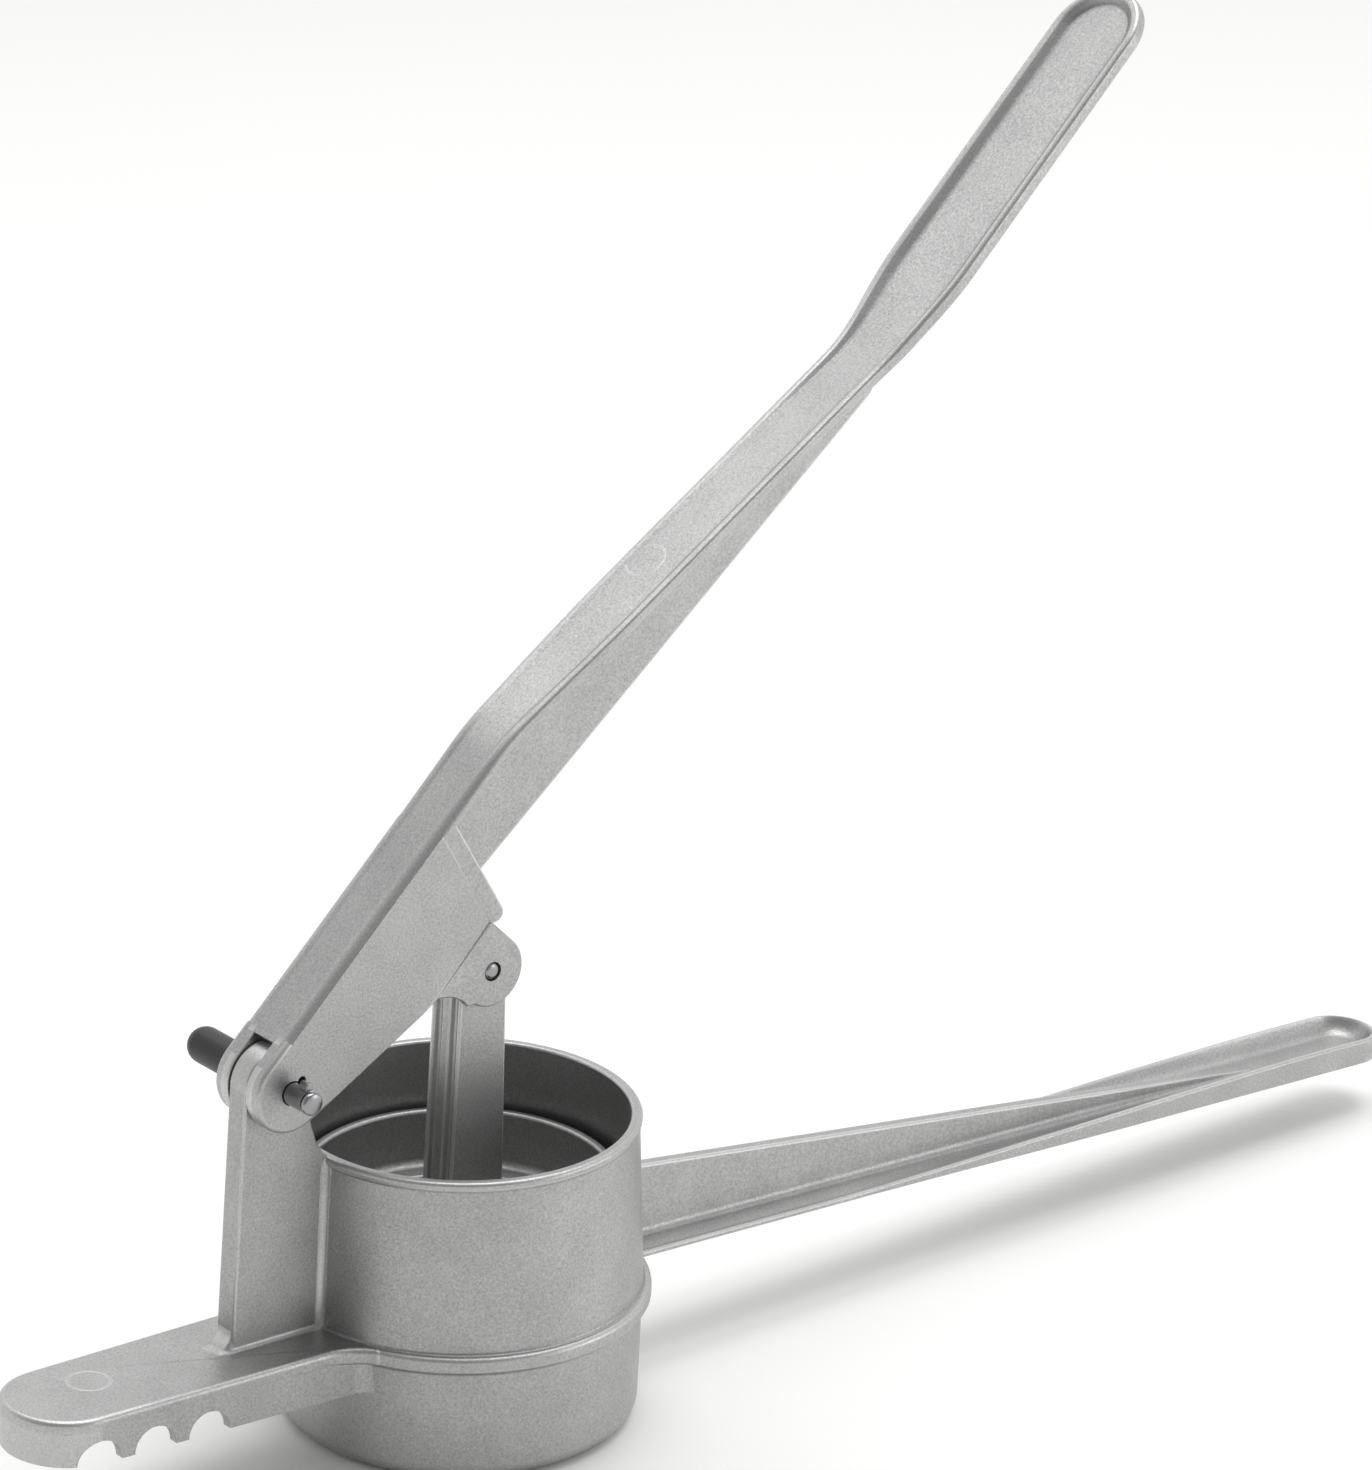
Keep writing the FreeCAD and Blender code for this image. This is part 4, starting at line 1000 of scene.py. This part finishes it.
# Turned steel, bright from the tool: fine speckled tool marks and a sharper reflection.
bright_steel, steel_shader = new_material("turned bright steel")
steel_shader.inputs["Metallic"].default_value = 1.0
steel_place = add_node(bright_steel, "ShaderNodeTexCoord")
steel_marks = add_node(bright_steel, "ShaderNodeTexNoise",
                       values={"Scale": 1 / (0.5 * MM), "Detail": 2.0},
                       links={"Vector": steel_place.outputs["Object"]})
steel_tone = add_node(bright_steel, "ShaderNodeMix", {"data_type": "RGBA"},
                      {"A": linear("8C8C8E"), "B": linear("A6A6A8")},
                      {"Factor": steel_marks.outputs["Fac"]})
link(bright_steel, steel_tone.outputs["Result"], steel_shader.inputs["Base Color"])
steel_gloss = add_node(bright_steel, "ShaderNodeMapRange",
                       values={"To Min": 0.2, "To Max": 0.28},
                       links={"Value": steel_marks.outputs["Fac"]})
link(bright_steel, steel_gloss.outputs["Result"], steel_shader.inputs["Roughness"])
steel_relief = add_node(bright_steel, "ShaderNodeBump",
                        values={"Strength": 0.1, "Distance": 0.03 * MM},
                        links={"Height": steel_marks.outputs["Fac"]})
link(bright_steel, steel_relief.outputs["Normal"], steel_shader.inputs["Normal"])


def lay_across(bm, x, z):
    """Turn a piece's axis from up to across the object and bring it to its place."""
    bmesh.ops.rotate(bm, cent=(0, 0, 0), matrix=Matrix.Rotation(-math.pi / 2, 3, "X"),
                     verts=bm.verts)
    bmesh.ops.translate(bm, vec=(x, 0, z), verts=bm.verts)
    return bm


rivet_end = LEVER_HALF - 0.25
rivet_profile = (
    [(0, -rivet_end), (RIVET_RADIUS * 0.55, -rivet_end + 0.08), (RIVET_RADIUS * 0.85, -rivet_end + 0.3),
     (RIVET_RADIUS, -rivet_end + 0.75), (RIVET_RADIUS, rivet_end - 0.75),
     (RIVET_RADIUS * 0.85, rivet_end - 0.3), (RIVET_RADIUS * 0.55, rivet_end - 0.08), (0, rivet_end)]
)
rivet = make_object("plunger_rivet", lay_across(turned(rivet_profile, 40), PIVOT.x, PIVOT.z))
finish_piece(rivet, "lever", bright_steel, ["plunger_rivet"])

# ---------------------------------------------------------------- plunger
# The third casting: a stem of three upright plates on a round piston with a raised skirt. The
# eye at its top hangs on the rivet between the cheeks.

stem_low, stem_high = in_millimetres("plunger_stem")
floor_high = in_millimetres("piston_floor")[1]
skirt_low, skirt_high = in_millimetres("piston_skirt")
STEM_HALF = stem_high.y
STEM_PLATE = 1.5
STEM_RIB = 3.4
STEM_RIGHT = 8.2
STEM_LEFT_TOP = -4.6
STEM_LEFT_FOOT = stem_low.x
STEM_EYE = 6.6
GROOVE_DEEP = 1.7
GROOVE_DRAFT = 0.3               # each side of a groove leans out by this much

foot_level = floor_high.z - 0.5
plate_y = STEM_HALF - STEM_PLATE
rib_y = STEM_RIB / 2
groove = [(0, -STEM_HALF), (0, -plate_y - GROOVE_DRAFT), (GROOVE_DEEP, -plate_y),
          (GROOVE_DEEP, -rib_y), (0, -rib_y + GROOVE_DRAFT)]
groove += [(dx, -y) for dx, y in reversed(groove)]
stem_bm = bmesh.new()
rings = []
for level, left_x in ((foot_level, STEM_LEFT_FOOT), (PIVOT.z, STEM_LEFT_TOP)):
    near_left = [(left_x + dx, y, level) for dx, y in groove]
    near_right = [(STEM_RIGHT - dx, y, level) for dx, y in reversed(groove)]
    rings.append(near_left + near_right)
join_rings(stem_bm, rings)
round_edges(stem_bm, [e for e in stem_bm.edges
                      if abs(e.verts[0].co.z - e.verts[1].co.z) > 10], 0.45, 3)
for middle, half in ((-STEM_HALF + STEM_PLATE / 2, STEM_PLATE / 2), (0, rib_y),
                     (STEM_HALF - STEM_PLATE / 2, STEM_PLATE / 2)):
    eye_bm = bmesh.new()
    add_plate(eye_bm, on_circle(PIVOT, STEM_EYE, 0, 360, 48)[:-1], middle - half + 0.02,
              middle + half - 0.02)
    round_edges(eye_bm, [e for e in eye_bm.edges if abs(e.verts[0].co.y - e.verts[1].co.y) < 0.01],
                0.4, 3)
    eye_mesh = bpy.data.meshes.new("eye")
    eye_bm.to_mesh(eye_mesh)
    stem_bm.from_mesh(eye_mesh)
    eye_bm.free()
add_plate(stem_bm, on_circle(PIVOT, STEM_EYE - 1.6, 0, 360, 40)[:-1], -STEM_HALF + 0.3,
          STEM_HALF - 0.3)
stem = make_object("plunger_stem", stem_bm)
finish_piece(stem, "plunger", cast_aluminium, ["plunger_stem"])

PISTON_RADIUS = (skirt_high.x - skirt_low.x) / 2
PISTON_X = (skirt_high.x + skirt_low.x) / 2
PISTON_LOW = skirt_low.z
PISTON_FLOOR = floor_high.z
SKIRT_TOP = skirt_high.z
SKIRT_WALL = 2.4
FLOOR_ROUND = 2.4
inside = PISTON_RADIUS - SKIRT_WALL
piston_profile = (
    [(0, PISTON_LOW)]
    + arc(PISTON_RADIUS - 1.5, PISTON_LOW + 1.5, 1.5, -90, 0, 6)
    + arc(PISTON_RADIUS - 0.9, SKIRT_TOP - 0.9, 0.9, 0, 90, 6)
    + arc(inside + 0.9, SKIRT_TOP - 0.9, 0.9, 90, 180, 6)
    + arc(inside - FLOOR_ROUND - 0.3, PISTON_FLOOR + FLOOR_ROUND, FLOOR_ROUND, 0, -90, 8)
    + [(inside - 6.0, PISTON_FLOOR), (inside - 6.4, PISTON_FLOOR - 0.35), (0, PISTON_FLOOR - 0.35)]
)
piston_bm = turned(piston_profile, 150)
bmesh.ops.translate(piston_bm, vec=(PISTON_X, 0, 0), verts=piston_bm.verts)
piston = make_object("piston", piston_bm)
finish_piece(piston, "plunger", cast_aluminium, ["piston_floor", "piston_skirt"])

# ---------------------------------------------------------------- hinge pin
# A turned steel pin pushed through the ears from the far side. A small key near its tip goes in
# by the keyhole and, turned away from it, keeps the pin from sliding out.

PIN_RADIUS = (pin_high.x - pin_low.x) / 2
PIN_TIP = -pin_low.y
GROOVE_Y = 14.8
key_low, key_high = in_millimetres("pin_key")
cap_low, cap_high = in_millimetres("pin_cap")
CAP_RADIUS = (cap_high.x - cap_low.x) / 2

pin_profile = (
    [(0, -PIN_TIP), (PIN_RADIUS - 0.55, -PIN_TIP), (PIN_RADIUS - 0.15, -PIN_TIP + 0.25),
     (PIN_RADIUS, -PIN_TIP + 0.6), (PIN_RADIUS, -GROOVE_Y - 0.3), (PIN_RADIUS - 0.35, -GROOVE_Y - 0.2),
     (PIN_RADIUS - 0.35, -GROOVE_Y + 0.2), (PIN_RADIUS, -GROOVE_Y + 0.3), (PIN_RADIUS, pin_high.y),
     (0, pin_high.y)]
)
pin = make_object("hinge_pin", lay_across(turned(pin_profile, 48), HINGE.x, HINGE.z))
finish_piece(pin, "hinge_pin", bright_steel, ["hinge_pin"])

KEY_ANGLE = math.radians(86)
KEY_THICK = 1.7
bm = bmesh.new()
add_plate(bm, [(PIN_RADIUS - 0.5, -KEY_THICK / 2), (KEY_REACH - 0.6, -KEY_THICK / 2),
               (KEY_REACH, -KEY_THICK / 2 + 0.5), (KEY_REACH, KEY_THICK / 2 - 0.5),
               (KEY_REACH - 0.6, KEY_THICK / 2), (PIN_RADIUS - 0.5, KEY_THICK / 2)],
          key_low.y, key_high.y)
round_edges(bm, bm.edges, 0.2, 2)
bmesh.ops.rotate(bm, cent=(0, 0, 0), matrix=Matrix.Rotation(-KEY_ANGLE, 3, "Y"), verts=bm.verts)
bmesh.ops.translate(bm, vec=HINGE, verts=bm.verts)
key = make_object("pin_key", bm)
finish_piece(key, "hinge_pin", bright_steel, ["pin_key"])

# ---------------------------------------------------------------- pin cap
# A push-on cap of black polyethylene on the pin's far end, moulded with a domed tip.

# Moulded black plastic: a satin skin with the fine spark texture of its mould.
black_plastic, cap_shader = new_material("moulded black polyethylene")
cap_place = add_node(black_plastic, "ShaderNodeTexCoord")
cap_spark = add_node(black_plastic, "ShaderNodeTexNoise",
                     values={"Scale": 1 / (0.6 * MM), "Detail": 2.0},
                     links={"Vector": cap_place.outputs["Object"]})
cap_tone = add_node(black_plastic, "ShaderNodeMix", {"data_type": "RGBA"},
                    {"A": linear("161617"), "B": linear("262627")},
                    {"Factor": cap_spark.outputs["Fac"]})
link(black_plastic, cap_tone.outputs["Result"], cap_shader.inputs["Base Color"])
cap_gloss = add_node(black_plastic, "ShaderNodeMapRange", values={"To Min": 0.32, "To Max": 0.5},
                     links={"Value": cap_spark.outputs["Fac"]})
link(black_plastic, cap_gloss.outputs["Result"], cap_shader.inputs["Roughness"])
cap_relief = add_node(black_plastic, "ShaderNodeBump", values={"Strength": 0.12, "Distance": 0.05 * MM},
                      links={"Height": cap_spark.outputs["Fac"]})
link(black_plastic, cap_relief.outputs["Normal"], cap_shader.inputs["Normal"])

cap_profile = (
    [(PIN_RADIUS + 0.02, cap_low.y), (CAP_RADIUS - 0.5, cap_low.y), (CAP_RADIUS, cap_low.y + 0.5)]
    + arc(0, cap_high.y - CAP_RADIUS, CAP_RADIUS, 0, 90, 14)
    + [(0, pin_high.y), (PIN_RADIUS + 0.02, pin_high.y)]
)
cap = make_object("pin_cap", lay_across(turned(cap_profile, 56, closed=True), HINGE.x, HINGE.z))
finish_piece(cap, "hinge_pin", black_plastic, ["pin_cap"])
